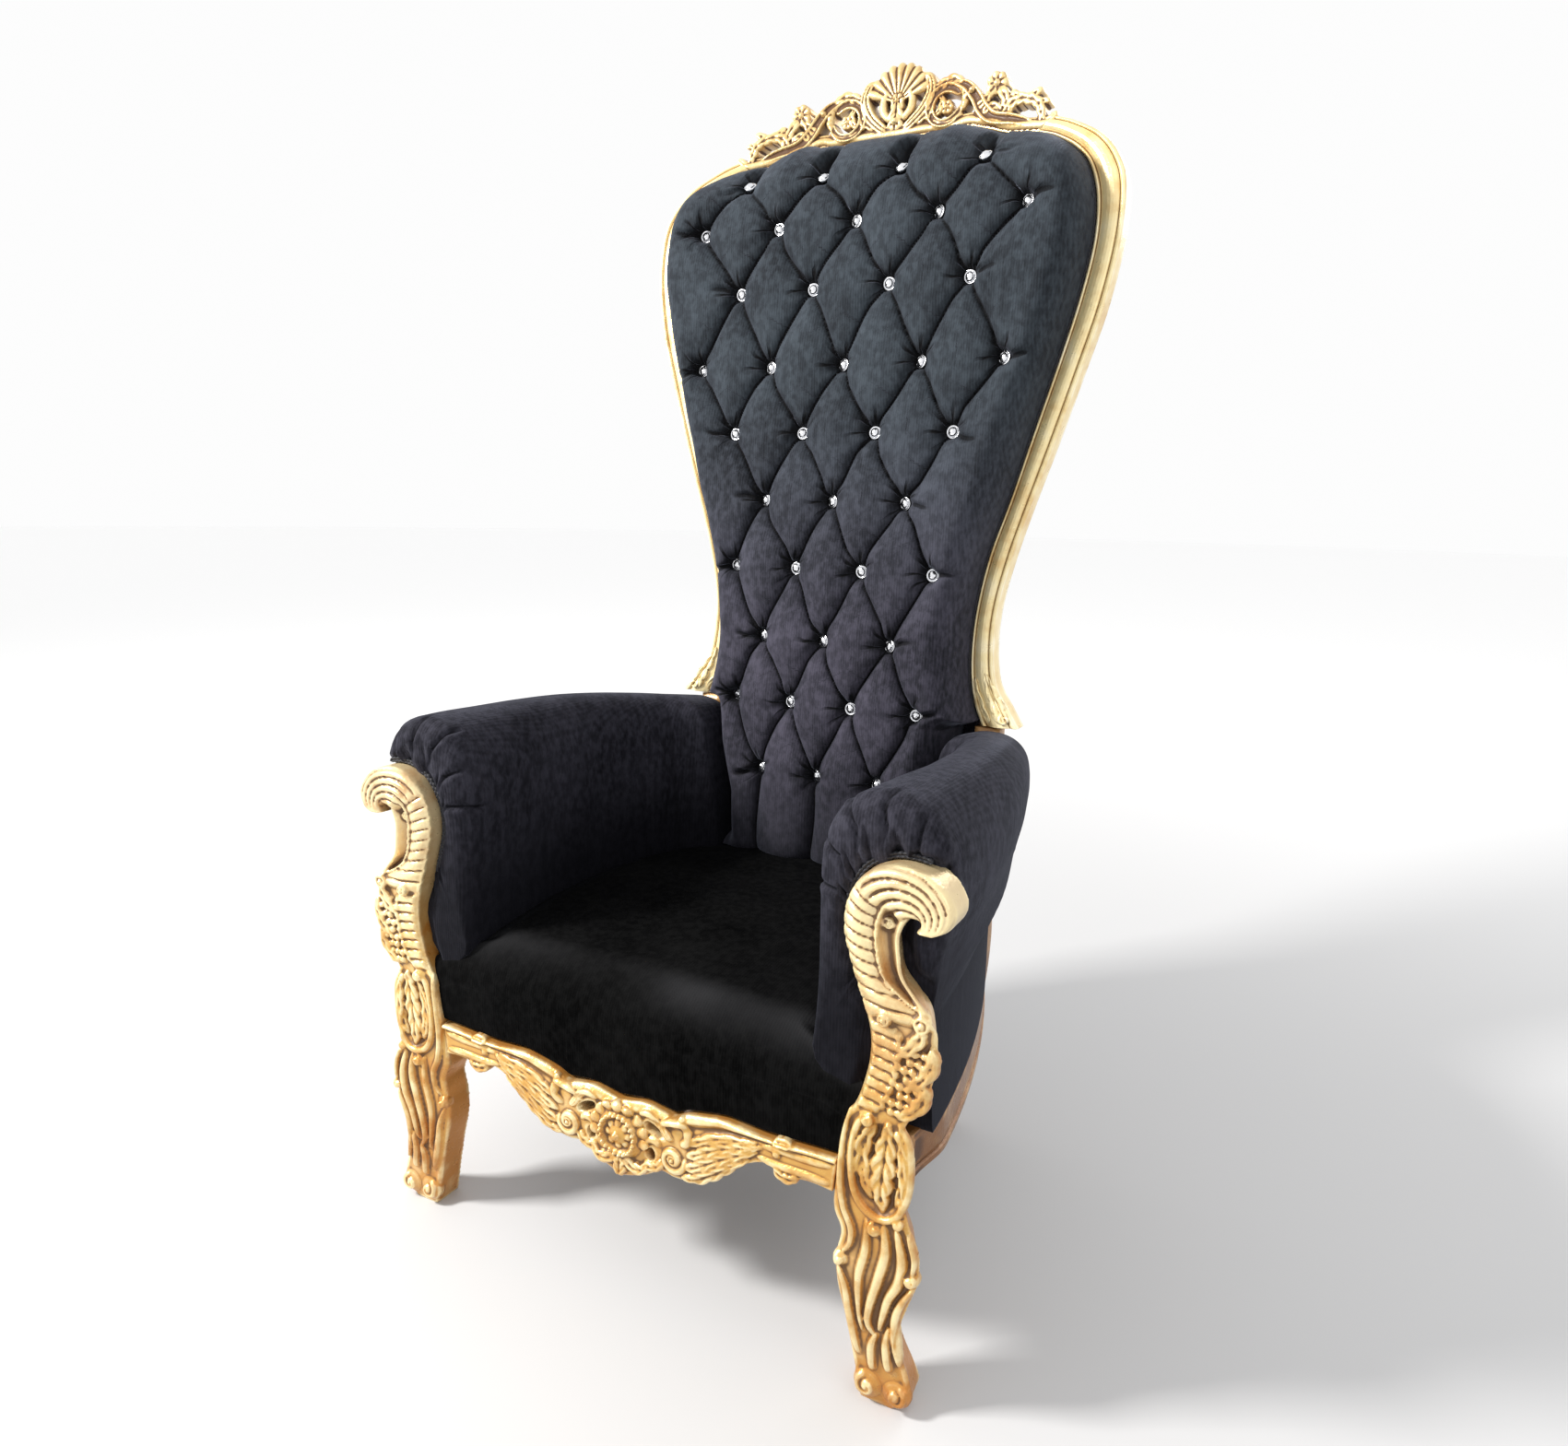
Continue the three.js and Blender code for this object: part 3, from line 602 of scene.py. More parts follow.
@dataclass(frozen=True)
class Floor:
    """A pale floor, painted darker near the piece against the key lamp's pool of light so that it reads
    evenly white, which takes a soft shadow under the piece.
    """

    near: Triple = (0.53, 0.53, 0.535)
    far: Triple = (0.98, 0.98, 0.98)

    def build(self) -> Paint:
        """Makes the material.

        Returns:
            The material.
        """
        s = Shader("floor_painted_falloff")
        away = (s.axis("X") ** 2.0 + s.axis("Y") ** 2.0) ** 0.5
        # Painted shade: darker near the piece, to even out the key lamp's pool of light.
        colour = s.mix(away.between(0.8, 5.0), self.near, self.far)
        return s.finish({"Base Color": colour, "Roughness": 0.8, "Specular IOR Level": 0.1})


class Finishes:
    """Every material of the throne, made once."""

    def __init__(self) -> None:
        """Makes them."""
        self.gilt = Gilding().build()
        self.pale_gilt = Gilding(
            "pale_gilt", leaf=(0.84, 0.62, 0.28), pale=(0.90, 0.76, 0.42), bright=(1.0, 0.92, 0.70),
            amber=(0.62, 0.34, 0.08), wax_and_shade=(0.20, 0.09, 0.02), metal=0.3, hollow_reach=0.008).build()
        self.old_gilt = Gilding(
            "old_gilt", leaf=(0.30, 0.14, 0.045), pale=(0.36, 0.19, 0.07), bright=(0.55, 0.33, 0.14),
            amber=(0.20, 0.08, 0.02), wax_and_shade=(0.05, 0.02, 0.008), metal=0.25).build()
        self.velvet = Velvet(painted_shade_low=0.6).build()
        self.arm_velvet = Velvet(
            "velvet_arm", deep=(0.0025, 0.0025, 0.004), lit=(0.042, 0.041, 0.055), painted_shade_low=0.85, brush=0.26,
            sheen=0.1, gloss=0.08).build()
        self.seat_velvet = Velvet(
            "velvet_seat", deep=(0.0004, 0.0004, 0.0004), lit=(0.0055, 0.0055, 0.0055), painted_sheen_share=0.9,
            sheen=0.01, gloss=0.01).build()
        self.gimp = Braid().build()
        self.silver = Plain("silver", (0.86, 0.87, 0.9), 0.18, metal=1.0, speckle=0.08).build()
        self.crystal = Plain("crystal", (0.97, 0.98, 1.0), 0.02, clear=1.0).build()


# ---- meshes ---------------------------------------------------------------------------------


def to_room(points: Array) -> Array:
    """Turns the drawings' millimetres into the room's metres."""
    return points * MM + np.array([0.0, TOE, 0.0])


def net(columns: int, rows: int, place: Surface) -> Shell:
    """A grid laid over a surface.

    Args:
        columns: Its cells one way, u.
        rows: Its cells the other way, v.
        place: Gives the drawing points of arrays of u and v, both 0 to 1.

    Returns:
        A new bmesh, open along its border.
    """
    bm = bmesh.new()
    bmesh.ops.create_grid(bm, x_segments=columns, y_segments=rows, size=0.5)
    flat = np.array([v.co[:2] for v in bm.verts])
    flat = (flat - flat.min(0)) / np.ptp(flat, axis=0)
    for vert, spot in zip(bm.verts, to_room(place(flat[:, 0], flat[:, 1]))):
        vert.co = spot
    return bm


def close(bm: Shell) -> Shell:
    """Welds a net's border where it meets itself, fills what stays open and turns it out.

    Args:
        bm: The net.

    Returns:
        The same bmesh, as a closed shell.
    """
    bmesh.ops.remove_doubles(bm, verts=[v for v in bm.verts if v.is_boundary], dist=WELD)
    bmesh.ops.holes_fill(bm, edges=[e for e in bm.edges if e.is_boundary], sides=0)
    bmesh.ops.recalc_face_normals(bm, faces=bm.faces)
    return bm


def wrapped(columns: int, rows: int, place: Surface) -> Shell:
    """A closed shell from a grid whose u runs round it."""
    return close(net(columns, rows, place))


def bridged(front: Shell, back: Shell) -> Shell:
    """Joins two open nets along their borders into one closed shell.

    Args:
        front: One net, which the other is moved into.
        back: The other net, which is freed.

    Returns:
        The closed shell.
    """
    absorb(front, back)
    rims = [e for e in front.edges if e.is_boundary]
    bmesh.ops.bridge_loops(front, edges=rims)
    bmesh.ops.recalc_face_normals(front, faces=front.faces)
    return front


def absorb(target: Shell, other: Shell) -> None:
    """Moves all of other into target.

    Args:
        target: The bmesh that grows.
        other: The bmesh that is moved, and freed.
    """
    carrier = bpy.data.meshes.new("carrier")
    other.to_mesh(carrier)
    other.free()
    target.from_mesh(carrier)
    bpy.data.meshes.remove(carrier)


def reflect(bm: Shell) -> Shell:
    """Turns a bmesh into its own mirror image.

    Args:
        bm: The bmesh.

    Returns:
        The same bmesh.
    """
    bmesh.ops.scale(bm, vec=(-1, 1, 1), verts=bm.verts)
    bmesh.ops.reverse_faces(bm, faces=bm.faces)
    return bm


def put(name: str, data: bpy.types.ID) -> Piece:
    """Links a new object of that name, holding data, to the scene.

    Args:
        name: The object's name.
        data: Its mesh, lamp or camera.

    Returns:
        The object.
    """
    thing = bpy.data.objects.new(name, data)
    bpy.context.scene.collection.objects.link(thing)
    return thing


def make_object(name: str, bm: Shell, smooth: bool = True) -> Piece:
    """Ends a bmesh as an object.

    Args:
        name: The piece's name.
        bm: Its shape, which is freed.
        smooth: Whether all its faces are shaded smooth; if not, each keeps its own shading.

    Returns:
        The piece.
    """
    for face in bm.faces if smooth else ():
        face.smooth = True
    mesh = bpy.data.meshes.new(name)
    bm.to_mesh(mesh)
    bm.free()
    return put(name, mesh)


def mark(piece: Piece, name: str, values: Array) -> None:
    """Keeps a number at every point of a piece, under that name, for its finish to read."""
    layer = piece.data.attributes.new(name, "FLOAT", "POINT")
    layer.data.foreach_set("value", np.ascontiguousarray(values))


def settle(piece: Piece) -> Piece:
    """Applies a piece's modifiers to its mesh.

    Args:
        piece: The piece.

    Returns:
        The same piece, with smooth faces and no modifiers.
    """
    graph = bpy.context.evaluated_depsgraph_get()
    graph.update()
    mesh = bpy.data.meshes.new_from_object(piece.evaluated_get(graph))
    piece.modifiers.clear()
    piece.data = mesh
    for polygon in mesh.polygons:
        polygon.use_smooth = True
    return piece


def mark_cuts(piece: Piece, fine: float = 0.3, broad: float = 3.0) -> Piece:
    """Marks how deep each point lies in a cut, below 0 on ridges, for the finish to read: the gilding puts
    brown waxing and painted shade in the cuts and a painted highlight on the ridges, and the velvet paints
    shade in its folds.

    Args:
        piece: The piece to mark.
        fine: The depth of a fine cut, in millimetres.
        broad: The depth of a broad cut, in millimetres.

    Returns:
        The piece.
    """
    near_by, far_off, limit = 4, 24, 4.0
    mesh = piece.data
    count = len(mesh.vertices)
    spots, normals = np.empty(3 * count), np.empty(3 * count)
    ends = np.empty(2 * len(mesh.edges), np.int32)
    mesh.vertices.foreach_get("co", spots)
    mesh.vertices.foreach_get("normal", normals)
    mesh.edges.foreach_get("vertices", ends)
    spots, normals = spots.reshape(-1, 3), normals.reshape(-1, 3)
    a, b = ends.reshape(-1, 2).T
    neighbours = np.maximum(np.bincount(a, minlength=count) + np.bincount(b, minlength=count), 1)
    cut = np.zeros(count)
    soft = spots
    for step in range(1, far_off + 1):
        sums = [np.bincount(a, soft[b, i], count) + np.bincount(b, soft[a, i], count) for i in range(3)]
        soft = np.stack(sums, axis=1) / neighbours[:, None]
        if step in (near_by, far_off):
            cut += ((soft - spots) * normals).sum(1) / ((fine if step == near_by else broad) * MM)
    mark(piece, CUT, np.clip(cut, -limit, limit))
    return piece


def twin(piece: Piece, name: str) -> Piece:
    """The mirror image of a piece, on the sitter's other side.

    Args:
        piece: The piece on the one side.
        name: The new piece's name.

    Returns:
        The new piece.
    """
    bm = bmesh.new()
    bm.from_mesh(piece.data)
    return make_object(name, reflect(bm))


def dress(piece: Piece, slot: str, replaced: Sequence[str], *materials: Paint) -> None:
    """Gives a piece its finish, its body and the nodes it stands for.

    Args:
        piece: The finished object.
        slot: The record's material slot; not used.
        replaced: CAD nodes that it stands for.
        materials: Its materials, in slot order.
    """
    piece.data.materials.clear()
    for material in materials:
        piece.data.materials.append(material)
    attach(piece, "root")
    if replaced:
        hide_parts(*replaced)
    triangles = sum(len(p.vertices) - 2 for p in piece.data.polygons)
    LOG.info("%s: %d triangles, stands for %s", piece.name, triangles, ", ".join(replaced) or "nothing")


# ---- carving --------------------------------------------------------------------------------


class Cut(Enum):
    """How the face of a strand is cut."""

    ROUND = "half round"
    HOLLOW = "hollow between two rims"
    REEDED = "three reeds"
    LEAF = "lobed leaf with a midrib and veins"
    BEADED = "string of pearls"
    RIBBED = "ribs across"


class Knob(Enum):
    """How the face of a boss is cut."""

    PEARL = "plain dome"
    FLOWER = "petals round a pearl"
    EYE = "ring round a pearl"


@dataclass(frozen=True)
class Strand:
    """A carved strand along rows of x, z and half width."""

    path: Path
    height: float = 4.0
    cut: Cut = Cut.ROUND
    count: int = 5
    sink: float = 4.0

    def width(self, s: Array, half: Array) -> Array:
        """The half width at shares s, with its ends rounded and its lobes cut.

        Args:
            s: Shares of the way along.
            half: The half widths of its plain path there.

        Returns:
            Half widths.
        """
        end = arch(2 * s - 1, 10)
        if self.cut is Cut.LEAF:
            end = end * (0.8 + 0.28 * lobes(s, self.count, 0.7))
        if self.cut is Cut.BEADED:
            end = end * (0.55 + 0.45 * lobes(s, self.count, 0.6))
        return half * end

    def face(self, s: Array, t: Array) -> Array:
        """The height of the cut face at s along and t across, -1 to 1.

        Args:
            s: Shares of the way along.
            t: Shares of the half width, -1 to 1.

        Returns:
            Heights before the base.
        """
        side = np.abs(t)
        if self.cut is Cut.ROUND:
            shape = arch(t)
        elif self.cut is Cut.HOLLOW:
            shape = (0.4 + 0.6 * ease(side, 0.3, 0.78)) * arch(t, 8)
        elif self.cut is Cut.REEDED:
            shape = (0.55 + 0.45 * np.abs(np.cos(1.5 * np.pi * t))) * arch(t, 3)
        elif self.cut is Cut.LEAF:
            veins = 0.22 * np.abs(np.sin(np.pi * (self.count * s + 1.1 * side)))
            shape = (0.62 + 0.38 * side**1.5 - 0.34 * swell(t, 0, 0.12) + veins) * arch(t, 3)
        elif self.cut is Cut.BEADED:
            shape = arch(t) * (0.35 + 0.65 * lobes(s, self.count, 0.6))
        else:
            shape = arch(t) * (0.62 + 0.38 * lobes(s, self.count, 0.7))
        return self.height * shape * arch(2 * s - 1, 6)


def leaf(path: Path, height: float, lobes: int, sink: float = 4.0) -> Strand:
    """A lobed leaf along a path."""
    return Strand(path, height, Cut.LEAF, lobes, sink)


def volute(x: float, z: float, radius: float, half: float, start: float, turns: float) -> Path:
    """Rows of a strand that winds into an eye.

    Args:
        x: The eye's middle.
        z: The eye's middle.
        radius: Its outer radius.
        half: The strand's half width at the outside.
        start: The angle it starts at, in turns.
        turns: How far it winds, negative for clockwise.

    Returns:
        The path of the strand.
    """
    rows = []
    for k in range(15):
        s = k / 14
        angle = 2 * math.pi * (start + turns * s)
        reach = (radius - half) * (1 - 0.8 * s)
        rows.append((x + reach * math.cos(angle), z + reach * math.sin(angle), half * (1 - 0.5 * s)))
    return tuple(rows)


def toe_plane(x: Array, z: Array) -> Array:
    """The upright plane of the toes, as a ground to carve on."""
    return np.zeros_like(x)


class Carving:
    """One carved piece: closed shells gathered together and then fused like cut wood."""

    CORNERS = (0.0, 0.70, 0.78, 0.92, 1.0)
    KNOB_CORNERS = (0.0, 0.75, 0.85, 1.0)

    def __init__(self, name: str, base: Surface) -> None:
        """Starts a piece that is laid on the surface base.

        Args:
            name: The piece's name.
            base: Gives the y of the ground at x and z.
        """
        self.name = name
        self.base = base
        self.solid = bmesh.new()

    def strip(self, edges: Callable, face: Surface, depth: float, rows: int, columns: int = 50,
              undercut: Callable[[Array], Array] = np.zeros_like) -> None:
        """Adds a strip between two edges.

        Args:
            edges: Gives the two edges' points at shares of the length.
            face: Gives the height before the base at s along and t across, 0 to 1.
            depth: How far it reaches behind the base.
            rows: Its cells along.
            columns: Its cells round, best a multiple of 50.
            undercut: How far its rear is drawn in from the far edge, as a share of the width.
        """

        def place(u: Array, v: Array) -> Array:
            """Points round the strip's section, along its length.

            Args:
                u: Shares of the way round.
                v: Shares of the way along.

            Returns:
                Rows of x, y and z.
            """
            behind = np.interp(u, self.CORNERS, (0, 0, 1, 1, 0))
            t = np.interp(u, self.CORNERS, (0, 1, 1, 0, 0)) * (1 - undercut(v) * behind)
            x, z = lerp(*edges(v), t[:, None]).T
            y = self.base(x, z) + lerp(-face(v, t), depth, behind)
            return np.stack([x, y, z], axis=1)

        absorb(self.solid, wrapped(columns, rows, place))

    def strand(self, strand: Strand) -> None:
        """Adds a strand.

        Args:
            strand: The strand.
        """
        path = np.array(strand.path, float)
        length = np.linalg.norm(np.diff(path[:, :2], axis=0), axis=1).sum()

        def edges(s: Array) -> tuple[Array, Array]:
            """The two sides of the strand."""
            at = smooth_curve(path, s)
            out = beside(path, s) * strand.width(s, at[:, 2])[:, None]
            return at[:, :2] - out, at[:, :2] + out

        cell, fewest = 1.4, 12
        rows, columns = max(fewest, int(length / cell)), 100 if strand.cut is Cut.LEAF else 50
        self.strip(edges, lambda s, t: strand.face(s, 2 * t - 1), strand.sink, rows, columns)

    def boss(self, x: float, z: float, radius: float, height: float, knob: Knob, petals: int = 6,
             sink: float = 4.0) -> None:
        """Adds a round knob.

        Args:
            x: Its middle.
            z: Its middle.
            radius: Its outer radius.
            height: How far it stands forward.
            knob: How it is cut.
            petals: Its petals, on a flower.
            sink: How far it reaches behind the base.
        """

        def place(u: Array, v: Array) -> Array:
            """Points round the knob.

            Args:
                u: Shares of the way round.
                v: Shares of the way from the middle of its face to that of its back.

            Returns:
                Rows of x, y and z.
            """
            turn = 2 * np.pi * u
            out = np.interp(v, self.KNOB_CORNERS, (0, 1, 1, 0))
            behind = np.interp(v, self.KNOB_CORNERS, (0, 0, 1, 1))
            lobe = np.abs(np.cos(0.5 * petals * turn)) ** 0.6
            rim = radius * (0.82 + 0.18 * lobe) if knob is Knob.FLOWER else radius
            face = arch(out)
            if knob is Knob.FLOWER:
                petal = (0.3 + 0.5 * out**0.7 * lobe) * arch(out, 6)
                face = np.maximum(petal, arch(out / 0.34))
            elif knob is Knob.EYE:
                face = np.maximum(0.8 * swell(out, 0.74, 0.2) * arch(out, 8), arch(out / 0.42))
            px = x + rim * out * np.cos(turn)
            pz = z + rim * out * np.sin(turn)
            y = self.base(np.full_like(px, x), np.full_like(pz, z)) + lerp(-height * face, sink, behind)
            return np.stack([px, y, pz], axis=1)

        absorb(self.solid, wrapped(12 * petals if knob is Knob.FLOWER else 32, 20, place))

    def fan(self, x: float, z: float, inner: float, outer: float, spread: float, ribs: int, height: float,
            sink: float, flat: float = 1.0) -> None:
        """Adds a shell of ribs spread about the upright.

        Args:
            x: The middle that the ribs spring from.
            z: The middle that the ribs spring from.
            inner: The radius they start at.
            outer: The radius they end at.
            spread: Half the angle of the fan, in radians.
            ribs: How many ribs.
            height: How far they stand forward.
            sink: How far it reaches behind the base.
            flat: Its width for a width of 1.
        """

        def edges(s: Array) -> tuple[Array, Array]:
            """The fan's inner arc and scalloped rim."""
            turn = spread * (2 * s - 1)
            ray = np.stack([flat * np.sin(turn), np.cos(turn)], axis=1)
            rim = outer * (0.88 + 0.12 * lobes(s, ribs, 0.6))
            return (x, z) + ray * inner, (x, z) + ray * rim[:, None]

        def face(s: Array, t: Array) -> Array:
            """The ribs, highest near the rim."""
            return height * (0.3 + 0.7 * lobes(s, ribs, 0.7)) * (0.45 + 0.55 * t) * arch(t, 6)

        self.strip(edges, face, sink, 16 * ribs, 100)

    def mirror(self) -> None:
        """Adds the mirror image of all that there is so far."""
        absorb(self.solid, reflect(self.solid.copy()))

    def surface(self) -> Surface:
        """The front of all that there is so far, as a surface that more can be laid on.

        Returns:
            The surface.
        """
        tree, ground = BVHTree.FromBMesh(self.solid), self.base

        def front(x: Array, z: Array) -> Array:
            """The y of the first thing met from the front at each x, z.

            Args:
                x: Places across.
                z: Heights.

            Returns:
                Its y, or that of the old ground where nothing is met.
            """
            met = np.array(ground(x, z), float)
            for i, (px, pz) in enumerate(zip(x, z)):
                spot = tree.ray_cast(Vector((px * MM, BEFORE, pz * MM)), Vector((0, 1, 0)))[0]
                if spot is not None:
                    met[i] = (spot.y - TOE) / MM
            return met

        return front

    def fused(self, voxel: float) -> Piece:
        """Fuses the shells into one skin.

        Args:
            voxel: The size of the finest cut, in millimetres.

        Returns:
            The piece.
        """
        piece = make_object(self.name, self.solid)
        fuse = piece.modifiers.new("fuse", "REMESH")
        fuse.mode, fuse.voxel_size = "VOXEL", voxel * MM
        soften = piece.modifiers.new("soften", "SMOOTH")
        soften.factor, soften.iterations = 0.5, 2
        return settle(piece)


# ---- the carved pieces ----------------------------------------------------------------------


@dataclass
class FrontPost:
    """A front leg that rises into a C-scroll arm support, carved on its face."""

    depth: float = POST_DEPTH
    thin: float = 9.0
    gadroons: int = 9
    reeds: int = 5
    voxel: float = 1.9
    panel: tuple[float, float, float, float] = (382, 325, 35, 62)
    collar: tuple[float, float, float, float] = (11.4, 12.0, 15.5, 15.9)
    scroll: tuple[float, float] = (15.6, 16.1)
    head: tuple[float, float] = (20.9, 22.0)
    slant: float = 0.23
    curls: tuple[tuple[float, float, float, int], ...] = (
        (379, 246, 12, 1), (407, 262, 9, -1), (364, 386, 11, -1), (374, 25, 19, 1), (414, 25, 18, -1),
        (333, 187, 10, 1), (425, 193, 11, -1))
    eyes: Path = ((20.5, 0.74, 8.0), (16.0, 0.84, 11.0), (15.9, 0.3, 9.0))
    ribbons: tuple[Strand, ...] = (
        Strand((
            (389, 258, 4), (393, 219, 7), (385, 179, 7), (376, 142, 6), (374, 116, 5), (384, 98, 3)), 9.0),
        Strand((
            (404, 258, 4), (414, 216, 7), (411, 184, 7), (399, 156, 6), (393, 131, 5), (388, 106, 3)), 9.0),
        Strand(((420, 252, 3), (429, 222, 4), (427, 198, 3)), 7.0),
        Strand(((430, 182, 3), (416, 158, 5), (408, 130, 6), (411, 95, 6), (417, 66, 4)), 8.0),
        Strand(((330, 178, 3), (341, 152, 5), (347, 122, 6), (354, 92, 6), (362, 62, 4)), 8.0),
        Strand(((385, 104, 3), (379, 80, 6), (381, 48, 5)), 8.0),
        Strand(((401, 118, 3), (398, 88, 6), (402, 54, 5)), 8.0),
        Strand((
            (340, 392, 3), (333, 346, 5), (331, 300, 5), (336, 262, 5), (347, 236, 5), (346, 214, 4),
            (336, 196, 3)), 8.0),
        Strand(((367, 254, 3), (367, 214, 6), (359, 172, 6), (361, 128, 4), (367, 96, 3)), 7.0),
        Strand((
            (372, 392, 3), (354, 380, 5), (345, 350, 5), (344, 318, 5), (350, 286, 5), (364, 267, 5),
            (385, 260, 5), (404, 269, 5), (415, 296, 5), (418, 330, 5), (414, 366, 5), (402, 390, 3)), 7.0),
    )
    leaves: tuple[Strand, ...] = (
        leaf(((386, 268, 5), (383, 296, 13), (385, 328, 16), (388, 360, 12), (390, 388, 4)), 11.0, 5),
        leaf(((371, 278, 3), (361, 306, 8), (358, 336, 9), (363, 362, 8), (374, 380, 4)), 9.0, 4),
        leaf(((400, 280, 3), (408, 306, 6), (410, 336, 7), (406, 364, 6), (399, 380, 3)), 9.0, 4),
        leaf(((400, 398, 4), (420, 412, 9), (432, 432, 9), (430, 452, 3)), 10.0, 3),
        leaf(((412, 440, 4), (430, 456, 9), (440, 476, 9), (438, 496, 3)), 10.0, 3),
        leaf(((400, 476, 4), (416, 492, 8), (426, 508, 8), (424, 524, 3)), 10.0, 3),
    )

    def row(self, s: Array) -> Array:
        """The row numbers of the post's edges at shares s of its length."""
        return s * (len(POST.rows) - 1)

    def undercut(self, s: Array) -> Array:
        """The slant of the outer side, none behind the scroll's head and the toes."""
        return self.slant * (1 - ease(self.row(s), 20.0, 21.8)) * ease(self.row(s), 0.3, 2.5)

    def relief(self, s: Array, t: Array) -> Array:
        """The height of the carved face.

        Args:
            s: Shares of the way up.
            t: Shares of the way across.

        Returns:
            Millimetres before the plane of the toes.
        """
        k, across = self.row(s), 2 * t - 1
        x, z = lerp(*POST.edges(s), t[:, None]).T
        px, pz, wide, tall = self.panel
        panel = 1 - ease(np.hypot((x - px) / wide, (z - pz) / tall), 0.8, 1.0)
        body = 5.0 * arch(across, 2.6) + 2.0 * (swell(t, 0.05, 0.05) + swell(t, 0.95, 0.05)) - 6.0 * panel
        collar = ease(k, *self.collar[:2]) * (1 - ease(k, *self.collar[2:]))
        groove = 1 - swell(np.abs((2.0 * (k + 0.3 * t)) % 1 - 0.5), 0.0, 0.14)
        body = body + collar * (1 - ease(t, 0.4, 0.46)) * ease(t, 0.02, 0.1) * (5.5 * groove - 1.0)
        split = lerp(0.95, 0.55, ease(k, 16.0, 17.6))
        ribbed = np.clip(t / split, 0, 1)
        phase = self.gadroons * (k - self.scroll[1]) / 5.4 + 0.25 * t
        rib = 1 - swell(np.abs(phase % 1 - 0.5), 0.0, 0.12)
        gadroon = (5.0 + 7.0 * rib) * np.sin(np.pi * np.clip(ribbed, 0.06, 0.96)) ** 0.55
        bead_line = (6.0 + 3.0 * lobes(k, 5.5, 0.7)) * swell(t, split + 0.04, 0.03)
        hollow = np.clip((t - split - 0.08) / np.maximum(0.9 - split - 0.08, 0.02), 0, 1)
        channel = -7.0 * np.sin(np.pi * hollow) * (t > split + 0.08) + 7.0 * swell(t, 0.955, 0.045)
        scroll = gadroon * (t < split) + bead_line + channel
        sweep = 1 - swell(np.abs((self.reeds * t - 0.25 * (k - 21)) % 1 - 0.5), 0.0, 0.17)
        reeds = (6.0 + 8.0 * sweep) * arch(across, 5)
        upper = lerp(scroll, reeds, ease(k, *self.head))
        return lerp(body, upper, ease(k, *self.scroll)) - 2.0

    def carve(self) -> Piece:
        """Builds the left post.

        Returns:
            The post.
        """
        work = Carving("carved_post_left", toe_plane)
        work.strip(POST.edges, self.relief, self.depth - 0.5 * self.thin, 640, 150, self.undercut)
        work.base = work.surface()
        for strand in self.ribbons + self.leaves:
            work.strand(strand)
        for row in range(9):
            for column in range(2 + row % 2):
                x, z = POST.inside(12.0 + 0.4 * row, 0.57 + 0.13 * column + 0.065 * ((row + 1) % 2))
                work.boss(x, z, 5.6 - 0.4 * column, 8.0, Knob.PEARL)
        spine = [POST.inside(11.9 + 0.4 * k, 0.46) for k in range(10)]
        work.strand(Strand(tuple((x, z, 4.0) for x, z in spine), 7.0, Cut.BEADED, 9))
        for x, z, radius, way in self.curls:
            work.boss(x, z, radius, 5.0, Knob.PEARL, sink=8.0)
            work.strand(Strand(volute(x, z, radius, 0.3 * radius, 0.25, 1.3 * way), 10.0, sink=8.0))
            work.boss(x, z, 0.34 * radius, 11.0, Knob.PEARL)
        for k, t, radius in self.eyes:
            work.boss(*POST.inside(k, t), radius, 10.0, Knob.EYE)
        return mark_cuts(work.fused(self.voxel))


@dataclass
class BackStile:
    """An upright of the back frame: a curved moulding that starts from a small leaf."""

    depth: float = 33.0
    profile: Profile = (
        (0.0, -1.0), (0.04, 2.5), (0.09, 3.2), (0.13, 1.5), (0.155, -1.5), (0.18, 1.0), (0.26, 4.5),
        (0.38, 6.6), (0.5, 7.2), (0.62, 6.4), (0.72, 4.2), (0.78, 1.5), (0.8, -1.0), (0.825, 1.0),
        (0.88, 2.4), (0.95, 1.2), (1.0, -3.0))
    leaves: tuple[Strand, ...] = (
        leaf(((302, 728, 10), (290, 752, 12), (274, 780, 8), (262, 806, 3)), 6.0, 4),
        leaf(((276, 724, 8), (262, 748, 8), (250, 776, 5), (245, 796, 2)), 5.0, 3),
        Strand(volute(304, 735, 13, 4.0, 0.3, 1.1), 6.5),
    )

    def moulding(self, t: Array) -> Array:
        """The height of the moulding at shares t across."""
        return np.interp(t, *zip(*self.profile))

    def carve(self) -> Piece:
        """Builds the left stile.

        Returns:
            The stile.
        """
        work = Carving("moulded_stile_left", BACK.face)
        work.strip(STILE.edges, lambda s, t: self.moulding(t), self.depth, 460, 100)
        work.base = work.surface()
        for strand in self.leaves:
            work.strand(strand)
        return mark_cuts(make_object(work.name, work.solid), 0.4, 7.0)


